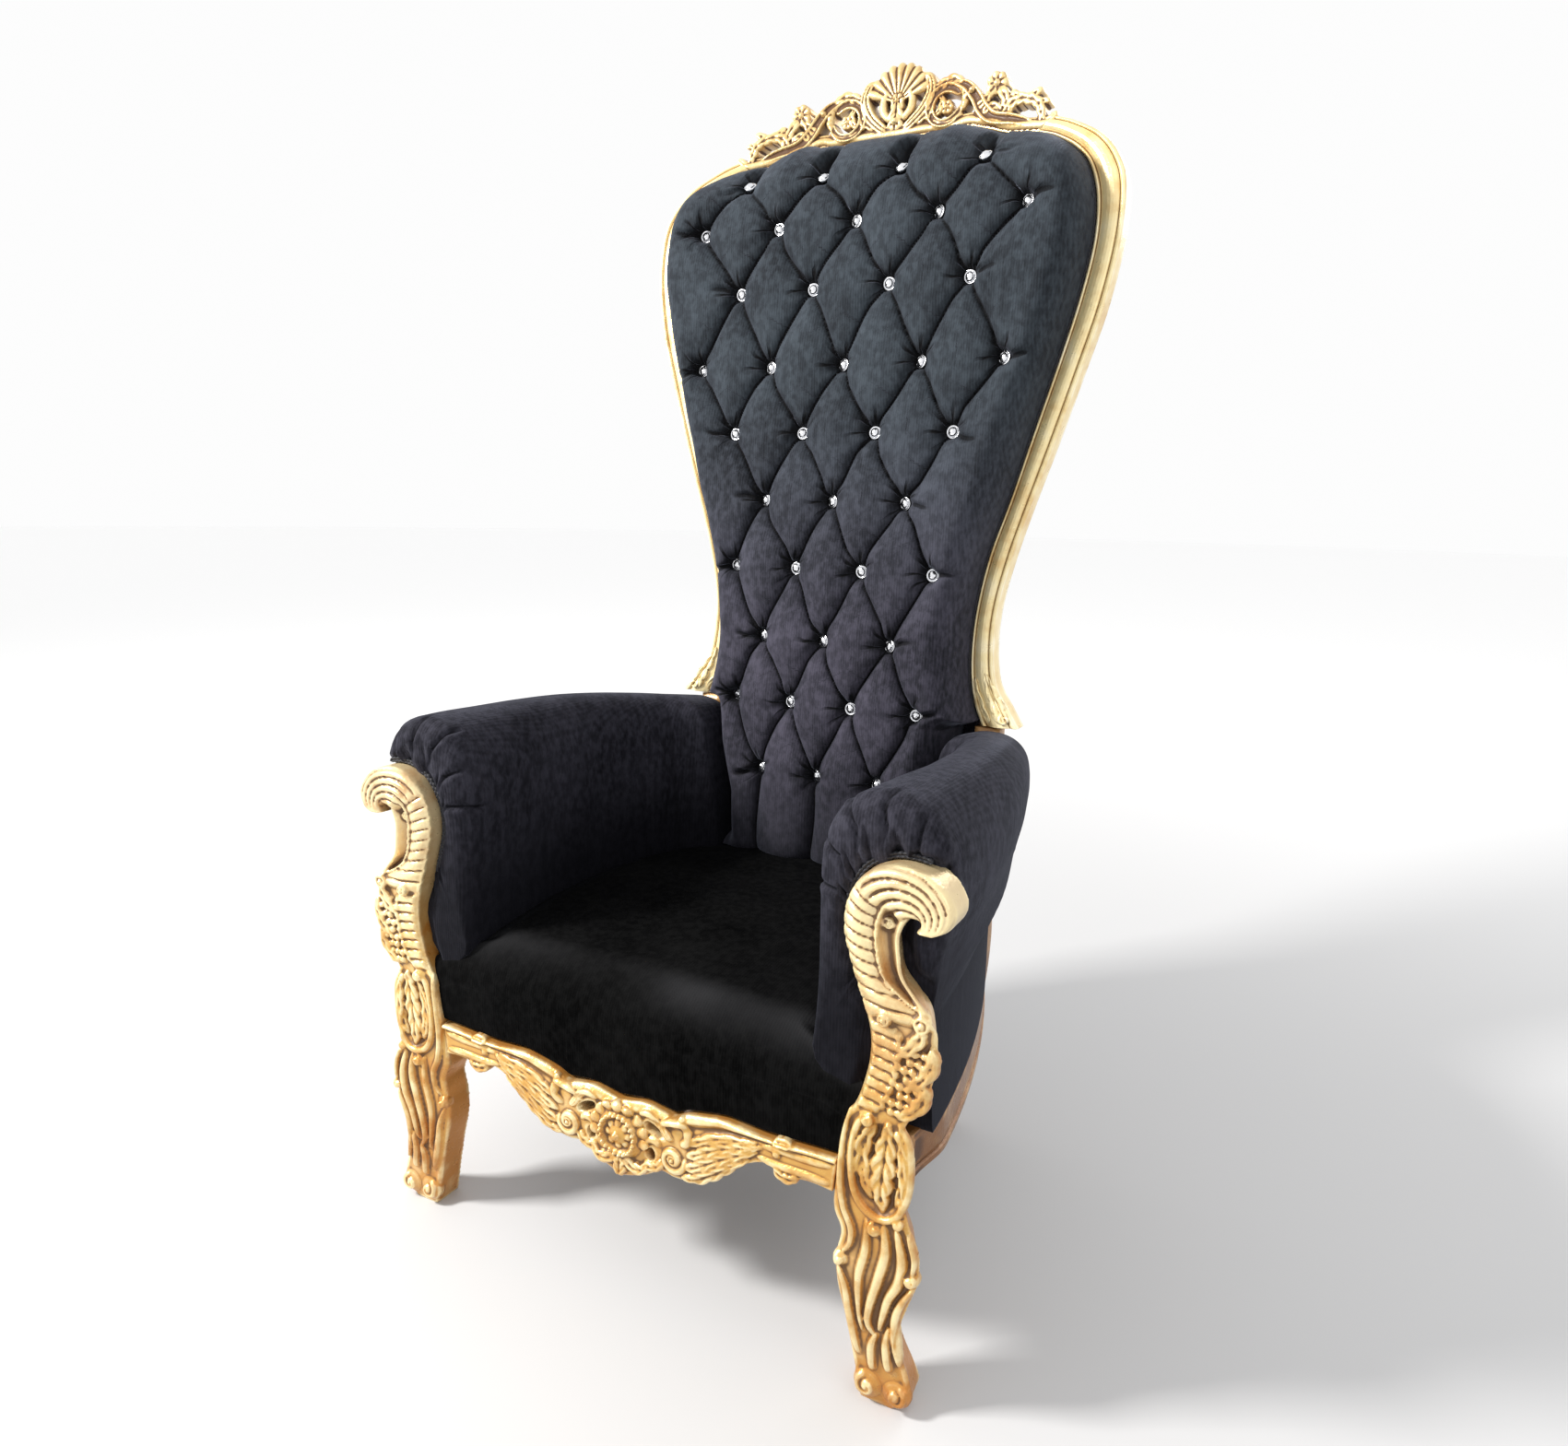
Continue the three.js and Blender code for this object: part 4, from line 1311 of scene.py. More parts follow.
@dataclass
class CrestRail:
    """The top rail with its pierced cresting of shell, scrolls, flowers and leaves."""

    depth: float = 27.0
    thick: float = 27.0
    voxel: float = 1.56

    def ring(self) -> Strand:
        """The open C-scroll beside the shell.

        Returns:
            Its strand.
        """
        x, z, radius = 90, 1717, 28
        rows = []
        for k in range(17):
            turn = 0.55 + 1.8 * math.pi * k / 16
            rows.append((x + radius * math.cos(turn), z + radius * math.sin(turn), 9.5 - 0.2 * k))
        return Strand(tuple(rows), 9.0, Cut.HOLLOW)

    def half(self) -> list[Strand]:
        """The strands of the sitter's left half, cut right through but for the last.

        Returns:
            The strands, from the shell outwards.
        """
        pierced = (
            self.ring(),
            Strand((
                (14, 1690, 8), (30, 1700, 10), (50, 1720, 11), (61, 1746, 10), (55, 1768, 8),
                (42, 1774, 5)), 9.0, Cut.REEDED),
            Strand((
                (106, 1752, 5), (126, 1742, 9), (144, 1722, 11), (158, 1700, 12), (178, 1683, 11),
                (214, 1674, 9), (250, 1662, 6)), 9.0, Cut.HOLLOW),
            Strand(((8, 1706, 6), (24, 1722, 7), (26, 1742, 7), (16, 1758, 5)), 8.0),
            leaf(((60, 1741, 5), (78, 1752, 9), (100, 1757, 10), (120, 1750, 4)), 7.0, 4),
            leaf(((146, 1702, 6), (162, 1714, 8), (172, 1728, 7)), 7.0, 3),
            leaf(((184, 1730, 7), (196, 1712, 9), (202, 1696, 8), (206, 1678, 7)), 7.0, 3),
            leaf((
                (198, 1674, 7), (204, 1694, 9), (220, 1703, 10), (240, 1700, 9), (256, 1690, 8),
                (263, 1674, 7), (266, 1660, 5)), 8.0, 7),
            leaf(((224, 1702, 7), (214, 1712, 7), (206, 1720, 2)), 7.0, 2),
            leaf(((240, 1700, 7), (252, 1708, 7), (262, 1711, 2)), 7.0, 2),
            leaf(((256, 1690, 6), (268, 1692, 5), (276, 1688, 2)), 6.0, 2),
            Strand(((66, 1700, 4), (80, 1692, 6), (104, 1691, 6), (122, 1702, 4)), 6.0),
            leaf(((34, 1697, 4), (50, 1704, 7), (62, 1714, 8), (66, 1730, 5)), 7.0, 3),
            Strand(((118, 1704, 4), (124, 1718, 7), (122, 1734, 6), (112, 1744, 3)), 7.0, Cut.RIBBED),
        )
        tip = leaf(((268, 1657, 5), (278, 1662, 7), (290, 1672, 3)), 5.0, 2, 8.0)
        return [replace(strand, sink=self.thick) for strand in pierced] + [tip]

    def carve(self) -> Piece:
        """Builds the crest rail.

        Returns:
            The rail.
        """
        work = Carving("crest", BACK.face)
        for strand in self.half():
            work.strand(strand)
        work.boss(92, 1715, 12.0, 8.0, Knob.FLOWER, 6, 16.0)
        work.strand(leaf(((72, 1704, 3), (80, 1712, 6), (84, 1724, 6), (80, 1734, 3)), 7.0, 3, 14.0))
        work.strand(leaf(((158, 1690, 3), (168, 1700, 7), (182, 1700, 7), (192, 1690, 3)), 7.0, 3, 14.0))
        work.boss(179, 1736, 19.0, 9.0, Knob.FLOWER, 7, self.thick)
        work.boss(136, 1733, 6.0, 12.0, Knob.PEARL, sink=8.0)
        work.boss(60, 1702, 5.0, 9.0, Knob.PEARL, sink=8.0)
        work.mirror()
        work.strip(CREST.edges, lambda s, t: 0.8 * BackStile().moulding(t), self.depth, 420)
        work.strand(leaf(((0, 1690, 13), (0, 1706, 15), (0, 1724, 13), (0, 1742, 10)), 10.0, 3, self.thick))
        work.fan(0, 1736, 8, 66, 1.36, 9, 12.0, self.thick, 0.94)
        work.boss(0, 1738, 13.0, 14.0, Knob.FLOWER, 6, self.thick)
        work.boss(0, 1704, 7.0, 14.0, Knob.PEARL, sink=self.thick)
        return mark_cuts(work.fused(self.voxel), 0.2, 1.7)


@dataclass
class Apron:
    """The front rail: a shaped apron with a medallion, scrolls and leaf fans, pierced in four places."""

    depth: float = 32.0
    voxel: float = 1.55
    sprig: Path = ((6, 214, 5), (22, 202, 9), (38, 204, 7), (44, 216, 3))
    holes: tuple[tuple[float, float, float, float, float], ...] = (
        (57, 267, 35, 15, 0.45), (50, 230, 15, 20, 0.0))

    def relief(self, s: Array, t: Array) -> Array:
        """The plain face: a bead along the top edge, a quirk and a soft lower edge."""
        bead = 5.0 * swell(t, 0.08, 0.07) - 1.5 * swell(t, 0.2, 0.05)
        return bead + 2.0 * arch(2 * t - 1, 6) + 1.5 * swell(t, 0.95, 0.05)

    def half(self) -> list[Strand]:
        """The strands of the sitter's left half.

        Returns:
            The strands, the leaf fan first.
        """
        return [
            leaf(((100, 214, 4), (124, 220, 9), (150, 236, 10), (176, 256, 8), (204, 276, 3)), 7.0, 5),
            leaf(((104, 228, 4), (128, 240, 9), (156, 258, 9), (186, 276, 7), (216, 290, 3)), 7.5, 5),
            leaf(((108, 246, 4), (132, 260, 8), (160, 276, 8), (190, 288, 6), (222, 298, 3)), 7.0, 5),
            leaf(((110, 264, 4), (134, 279, 7), (162, 291, 7), (192, 298, 5), (214, 302, 2)), 6.0, 4),
            Strand(volute(88, 236, 25, 6.5, 0.05, -1.5), 7.0),
            Strand((
                (100, 258, 6), (112, 272, 7), (106, 290, 7), (88, 292, 6), (72, 282, 5), (64, 274, 3)), 6.5),
            Strand(((36, 286, 4), (50, 292, 6), (66, 284, 6), (78, 268, 6), (86, 262, 3)), 6.0, Cut.REEDED),
            leaf(((40, 216, 4), (52, 212, 7), (64, 218, 7), (70, 228, 4)), 6.0, 3),
            Strand(((44, 246, 3), (50, 252, 5), (60, 252, 5), (66, 246, 3)), 5.0),
            Strand(((222, 300, 3), (250, 303, 5), (286, 303, 5), (318, 305, 4)), 3.0, Cut.REEDED),
            Strand(((214, 284, 3), (246, 281, 5), (284, 282, 5), (316, 281, 4)), 4.0),
            leaf(((238, 276, 4), (250, 268, 8), (264, 268, 7), (272, 276, 3)), 6.0, 3, 16.0),
            leaf(((238, 312, 3), (250, 315, 6), (264, 314, 3)), 5.0, 2, 10.0),
        ]

    def carve(self) -> Piece:
        """Builds the apron.

        Returns:
            The apron.
        """
        middle, pearls, ring = 246, 22, 28
        work = Carving("apron", toe_plane)
        work.strip(APRON.edges, self.relief, self.depth, 420)
        work.base = work.surface()
        for strand in self.half():
            work.strand(strand)
        work.boss(88, 236, 8.0, 10.0, Knob.EYE)
        work.boss(242, 296, 5.0, 5.0, Knob.PEARL)
        work.boss(104, 300, 5.0, 4.0, Knob.PEARL)
        work.mirror()
        work.fan(0, middle, 30, 50, 1.9, 9, 9.0, 6.0)
        work.boss(0, middle, 38.0, 11.0, Knob.EYE, sink=8.0)
        for k in range(pearls):
            turn = 2 * math.pi * k / pearls
            work.boss(ring * math.cos(turn), middle + ring * math.sin(turn), 3.6, 14.0, Knob.PEARL)
        work.boss(0, middle, 22.0, 12.0, Knob.FLOWER, 8, 8.0)
        work.boss(0, middle, 8.0, 17.0, Knob.PEARL, sink=8.0)
        for side in (-1, 1):
            sprig = tuple((side * x, z, half) for x, z, half in self.sprig)
            work.strand(leaf(sprig, 7.0, 3))
        work.strand(leaf(((0, 212, 6), (0, 200, 11), (0, 188, 9), (0, 182, 3)), 8.0, 3))
        return mark_cuts(self.pierce(work.fused(self.voxel)), 0.25, 2.2)

    def pierce(self, piece: Piece) -> Piece:
        """Cuts the four holes right through.

        Args:
            piece: The fused apron.

        Returns:
            The same piece.
        """
        drill = bmesh.new()
        for x, z, width, height, tilt in self.holes:
            for side in (-1, 1):
                place = Matrix.Translation((side * x * MM, TOE, z * MM))
                place = place @ Matrix.Rotation(side * tilt, 4, "Y")
                size = Matrix.Diagonal((width * MM, 1, height * MM, 1)) @ Matrix.Rotation(math.pi / 2, 4, "X")
                bmesh.ops.create_cone(drill, cap_ends=True, segments=20, radius1=0.5, radius2=0.5, depth=0.2,
                                      matrix=place @ size)
        bmesh.ops.recalc_face_normals(drill, faces=drill.faces)
        cutter = make_object("drill", drill)
        cut = piece.modifiers.new("pierce", "BOOLEAN")
        cut.operation, cut.solver, cut.object = "DIFFERENCE", "EXACT", cutter
        settle(piece)
        bpy.data.objects.remove(cutter)
        return piece


# ---- plain woodwork -------------------------------------------------------------------------


@dataclass
class Woodwork:
    """The rails and rear legs under the seat, finished plainer than the front."""

    rail_top: float = 343.0
    rail_bottom: float = 284.0
    rail_thick: float = 28.0
    rail_section: Profile = (
        (0.06, 0), (0, 0.06), (0, 0.16), (0.1, 0.2), (0.05, 0.26), (0.05, 0.9), (0.1, 1), (1, 1), (1, 0),
        (0.06, 0))
    rear_span: float = 245.0
    rear_face: float = 654.0
    leg: tuple[tuple[float, float, float, float, float], ...] = (
        (238, 588, 0, 38, 44), (240, 590, 22, 42, 46), (243, 594, 48, 32, 38), (256, 612, 140, 36, 42),
        (267, 634, 240, 42, 46), (270, 643, 325, 46, 44), (270, 646, 420, 44, 44), (272, 648, 716, 44, 40),
    )

    def rear_leg(self) -> Piece:
        """Builds the left rear leg: a bar with soft corners through its stations.

        Returns:
            The leg.
        """
        rows = np.array(self.leg, float)

        def place(u: Array, v: Array) -> Array:
            """Points round the leg, from the floor up.

            Args:
                u: Shares of the way round.
                v: Shares of the way up.

            Returns:
                Rows of x, y and z.
            """
            x, y, z, width, depth = smooth_curve(rows, v).T
            turn = 2 * np.pi * u
            c, s = np.cos(turn), np.sin(turn)
            soft = 1 - 0.1 * swell(v, 0, 0.006)
            px = x + 0.5 * width * soft * np.sign(c) * np.abs(c) ** 0.35
            py = y + 0.5 * depth * soft * np.sign(s) * np.abs(s) ** 0.35
            return np.stack([px, py, np.clip(z, 0, rows[-1, 2])], axis=1)

        return mark_cuts(make_object("turned_leg_left", wrapped(64, 150, place)))

    def board(self, name: str, line: Callable[[Array], Array]) -> Piece:
        """Builds a rail with a small bead along its lower edge.

        Args:
            name: The piece's name.
            line: Gives x, y of its outer face and x, y of its inner face at shares of its length.

        Returns:
            The rail.
        """
        section = np.array(self.rail_section)
        corners = np.linspace(0, 1, len(section))

        def place(u: Array, v: Array) -> Array:
            """Points round the rail's section, along it."""
            at, up = (np.interp(u, corners, section[:, i]) for i in range(2))
            spots = line(v)
            flat = lerp(spots[:, :2], spots[:, 2:], at[:, None])
            return np.column_stack([flat, lerp(self.rail_bottom, self.rail_top, up)])

        return mark_cuts(make_object(name, wrapped(72, 60, place)))

    def side_rail(self) -> Piece:
        """Builds the left side rail, curved under the arm.

        Returns:
            The rail.
        """

        def line(v: Array) -> Array:
            """Its outer and inner faces."""
            y = lerp(POST_DEPTH + 0.5, self.rear_face - 42, v)
            outer = Arm().side(y) + 1.5 - 16 * (1 - ease(y, 46, 130))
            return np.stack([outer, y, outer - 20 - self.rail_thick, y], axis=1)

        return self.board("beaded_rail_left", line)

    def rear_rail(self) -> Piece:
        """Builds the straight rail between the rear legs.

        Returns:
            The rail.
        """
        out, back = self.rear_span, self.rear_face
        ends = np.array([(x, back, x, back - self.rail_thick) for x in (out, -out)])
        return self.board("beaded_rail_rear", lambda v: lerp(*ends, v[:, None]))


# ---- upholstery -----------------------------------------------------------------------------


@dataclass(frozen=True)
class ButtonRow:
    """One row of buttons: its height, spacing and number."""

    z: float
    pitch: float
    count: int


@dataclass
class ButtonedBack:
    """The deep-buttoned pad of the back."""

    rows: tuple[ButtonRow, ...] = (
        ButtonRow(1593, 139.5, 4), ButtonRow(1519, 143.3, 5), ButtonRow(1417, 137.1, 4),
        ButtonRow(1294, 136.7, 5), ButtonRow(1186, 133.2, 4), ButtonRow(1075.5, 129.6, 3),
        ButtonRow(964.2, 122.7, 4), ButtonRow(845.7, 119.8, 3), ButtonRow(736.6, 114.7, 4),
        ButtonRow(613.3, 112.1, 3),
    )
    bottom: float = 458.0
    gap: float = 2.5
    sides: Profile = ((486, 187), (560, 190), (650, 213), (716, 221))
    shoulder: float = 1530.0
    edge: float = 46.0
    crown: float = 92.0
    pillow: float = 33.0
    fold: float = 8.0
    pit: float = 4.0
    notch: float = 0.30
    columns: int = 250
    lines: int = 384
    cup: Profile = (
        (0, -3), (10.4, -3), (11.2, 0.2), (10.9, 1.6), (10.0, 2.2), (8.8, 1.8), (8.3, 1.2), (0, 1.0))
    crystal: float = 8.0
    proud: float = 1.5
    top_tilt: float = 1.1

    def outline(self) -> tuple[Array, Array]:
        """The half outline.

        Returns:
            Rows of height and half width up to the shoulder, and rows of x and height over the top.
        """
        s = np.linspace(0.02, 1, 160)
        edge, _ = STILE.edges(s)
        inward = beside(np.array(STILE.rows)[:, :2], s)
        stile = edge - inward * self.gap
        top, _ = CREST.edges(np.linspace(0.0, 0.5, 60))
        over = np.vstack([stile[stile[:, 1] > self.shoulder], top - (0, self.gap)])
        up = np.vstack([np.array(self.sides), stile[stile[:, 1] <= self.shoulder][:, ::-1]])
        order = np.argsort(over[:, 0])
        return up[np.argsort(up[:, 0])], over[order]

    def plane(self, x: Array, z: Array) -> Array:
        """How far the buttons' seats lie before the frame."""
        half = 230 + 140 * np.clip((z - 850) / 600, 0, 1)
        return 104.2 - 38.9 * (x / half) ** 2

    def lattice(self, x: Array, z: Array) -> tuple[Array, Array, Array]:
        """Row, number across and the outermost button's number across at x, z.

        Args:
            x: Places across.
            z: Heights.

        Returns:
            The three, which run evenly between the rows.
        """
        levels = np.array([r.z for r in self.rows])
        order = np.arange(len(levels))
        row = np.interp(-z, -levels, order)
        pitch = np.interp(row, order, [r.pitch for r in self.rows])
        limit = np.interp(row, order, [(r.count - 1) / 2 for r in self.rows])
        return row, x / pitch, limit

    def seats(self) -> list[tuple[int, int, float, float]]:
        """Row, column, x and z of every button."""
        return [(number, column, (column - (row.count + 1) / 2) * row.pitch, row.z)
                for number, row in enumerate(self.rows, 1) for column in range(1, row.count + 1)]

    def relief(self, x: Array, z: Array) -> Array:
        """The height of the cloth before the plane of the buttons.

        Args:
            x: Places across.
            z: Places up.

        Returns:
            Millimetres.
        """
        nearest = np.full_like(x, 1e9)
        wrinkle = np.zeros_like(x)
        pleat = np.ones_like(x)
        for number, column, bx, bz in self.seats():
            dx, dz = x - bx, z - bz
            reach = np.hypot(dx, dz)
            nearest = np.minimum(nearest, reach)
            turn = np.arctan2(dz, dx)
            phase = 2.1 * number + 3.7 * column
            rays = np.cos(6 * turn + 0.5 * np.sin(3 * turn) + phase) * (0.65 + 0.35 * np.cos(turn - 2.3))
            wrinkle += 4.5 * rays * np.exp(-reach / 29) * ease(reach, 11, 25)
            this = self.rows[number - 1]
            if abs(bx) > 1.4 * this.pitch or (this.count == 3 and bx):
                outward = np.clip(dx * np.sign(bx), 0, None)
                sag = 4 * np.sin(outward / 17 + phase) * ease(outward, 5, 30)
                sag = dz + 0.22 * outward * math.cos(phase) + sag
                line = (1 - ease(np.abs(sag), 0.5, 9)) * ease(outward, 0, 4) * (1 - ease(outward, 22, 60))
                pleat = np.minimum(pleat, np.where(dx * np.sign(bx) > 0, 1 - 0.6 * line, 1.0))
        stray = 5 * ease(nearest, 14, 45)
        row, across, limit = self.lattice(x + stray * ripple(z, x, 31), z + stray * ripple(x, z + 90, 37))

        def share(value: Array) -> Array:
            """0 on a fold and 1 halfway to the next."""
            return 2 * np.abs(value - np.round(value))

        def puff(value: Array) -> Array:
            """The round rise from a fold."""
            return np.sqrt(np.clip(1 - (1 - value) ** 2.2, 0, 1))

        one, other = share(across + (row + 1) / 2), share(across - (row + 1) / 2)
        diamonds = (puff(one) * puff(other)) ** 0.78
        beyond = np.abs(across) - limit
        outer = puff(np.clip(beyond * 2.2, 0, 1)) * lerp(0.35, 1.0, pleat)
        tufts = np.where(beyond > 0, outer, diamonds)
        along_fold = 1 - np.exp(-((nearest / 26) ** 2))
        height = self.fold * along_fold + (self.pillow - self.fold * along_fold) * tufts
        pit = self.pit * np.exp(-((nearest / 15) ** 4))
        soft = 1.5 * ripple(x, z, 23) * ease(nearest, 20, 60)
        return height * ease(nearest, 6.5, 16) ** 0.8 - pit + wrinkle + soft * tufts

    def place(self, u: Array, v: Array) -> tuple[Array, Array]:
        """x and z over the pad, u across and v up.

        Args:
            u: Shares of the way across.
            v: Shares of the way up.

        Returns:
            Places across, and heights.
        """
        up, over = self.outline()
        across = 2 * u - 1
        level = lerp(self.bottom, self.shoulder, v)
        half = np.interp(level, up[:, 0], up[:, 1])
        wide = up[-1, 1]
        rise = np.interp(np.abs(across) * wide, over[:, 0], over[:, 1]) - self.shoulder
        return across * half, level + rise * v**2.6

    def forward(self, x: Array, z: Array) -> Array:
        """How far the cloth stands before the frame.

        Args:
            x: Places across.
            z: Heights.

        Returns:
            Millimetres.
        """
        up, over = self.outline()
        border = np.vstack([up[:, ::-1], over[::-1]])
        ax = np.abs(x)
        distance = distance_to(border, ax, z)
        crown = ease(z, 1490, 1610) * (1 - ease(ax, 240, 345))
        roll = arch(1 - np.clip(distance / lerp(self.edge, self.crown, crown), 0, 1), lerp(2.3, 1.7, crown))
        low = arch(1 - np.clip((z - self.bottom) / 30, 0, 1), 2.5)
        full = self.plane(x, z) + self.relief(x, z)
        _, across, _ = self.lattice(x, z)
        seam = np.abs(across + 0.5 - np.round(across + 0.5)) + 0.02 * np.sin(z / 9)
        notch = self.notch * (1 - ease(np.abs(seam), 0.0, 0.15)) * ease(z, 1590, 1614) * (np.abs(across) < 2)
        return full * np.maximum(roll, 0.03) * (1 - notch) * lerp(0.85, 1.0, low)

    def build(self) -> Piece:
        """Builds the pad: the buttoned front bridged to a plain back.

        Returns:
            The pad, marked with the way from the nearest button, which its finish reads to paint shade in the
            creases and pits round the buttons.
        """

        def front(u: Array, v: Array) -> Array:
            """The buttoned face."""
            x, z = self.place(u, v)
            return np.stack([x, BACK.face(x, z) - self.forward(x, z), z], axis=1)

        def back(u: Array, v: Array) -> Array:
            """The face against the panel."""
            x, z = self.place(1 - u, v)
            return np.stack([x, BACK.face(x, z) + 30, z], axis=1)

        piece = make_object("buttoned_back", bridged(net(self.columns, self.lines, front), net(32, 48, back)))
        spots = np.array([v.co for v in piece.data.vertices])
        nearest = np.full(len(spots), 1e9)
        offset = np.zeros((len(spots), 2))
        for _, _, x, z in self.seats():
            away = spots[:, ::2] - np.array((x, z)) * MM
            closer = (away**2).sum(1) < nearest
            nearest[closer] = (away**2).sum(1)[closer]
            offset[closer] = away[closer]
        mark(piece, ASIDE, offset[:, 0])
        mark(piece, ABOVE, offset[:, 1])
        return mark_cuts(piece, 0.5, 3.5)

    def normal(self, x: float, z: float) -> Vector:
        """The way a button at x, z faces.

        Args:
            x: Its place across.
            z: Its height.

        Returns:
            A unit vector.
        """
        at = np.array([[x - 1, z], [x + 1, z], [x, z - 1], [x, z + 1]])
        y = BACK.face(at[:, 0], at[:, 1]) - self.plane(at[:, 0], at[:, 1])
        return Vector(((y[1] - y[0]) / 2, -1.0, (y[3] - y[2]) / 2)).normalized()

    def jewel(self) -> Shell:
        """One button on its own: a silvered cup and bead ring round a cut crystal.

        Returns:
            A bmesh about the origin that faces up, silver in slot 0 and crystal in slot 1.
        """
        bm = bmesh.new()
        points = [bm.verts.new((r * MM, 0, h * MM)) for r, h in self.cup]
        edges = [bm.edges.new(pair) for pair in zip(points[:-1], points[1:])]
        bmesh.ops.spin(bm, geom=points + edges, cent=(0, 0, 0), axis=(0, 0, 1), angle=2 * math.pi, steps=24,
                       use_merge=True)
        bmesh.ops.remove_doubles(bm, verts=bm.verts, dist=WELD)
        for face in bm.faces:
            face.smooth = True
        metal = set(bm.faces)
        gem = bmesh.ops.create_uvsphere(bm, u_segments=10, v_segments=8, radius=self.crystal * MM,
                                        matrix=Matrix.Diagonal((1, 1, 0.62, 1)))
        low = [v for v in gem["verts"] if v.co.z < -0.5 * MM]
        bmesh.ops.delete(bm, geom=low, context="VERTS")
        bmesh.ops.holes_fill(bm, edges=[e for e in bm.edges if e.is_boundary], sides=0)
        for face in set(bm.faces) - metal:
            face.material_index = 1
            face.smooth = False
        domed = [v for v in gem["verts"] if v.is_valid]
        bmesh.ops.translate(bm, verts=domed, vec=(0, 0, 1.4 * MM))
        bmesh.ops.recalc_face_normals(bm, faces=bm.faces)
        return bm

    def button(self, name: str, x: float, z: float) -> Piece:
        """Builds one button in its place, leaning a little its own way.

        Args:
            name: The piece's name.
            x: Its place across.
            z: Its height.

        Returns:
            The button.
        """
        top_row = float(ease(np.array(z), 1560, 1590))
        lean = Vector((0.22 * math.sin(0.11 * z + 0.05 * x) - 0.16, 0, 0.12 * math.sin(0.07 * z + 0.09 * x)))
        lean.z += self.top_tilt * top_row
        facing = (self.normal(x, z) + lean).normalized()
        turn = Vector((0, 0, 1)).rotation_difference(facing).to_matrix().to_4x4()
        y = float(BACK.face(x, z) - self.plane(x, z))
        spot = Vector(to_room(np.array([x, y, z]))) + facing * self.proud * MM
        bm = self.jewel()
        bmesh.ops.transform(bm, matrix=Matrix.Translation(spot) @ turn, verts=bm.verts)
        return make_object(name, bm, smooth=False)


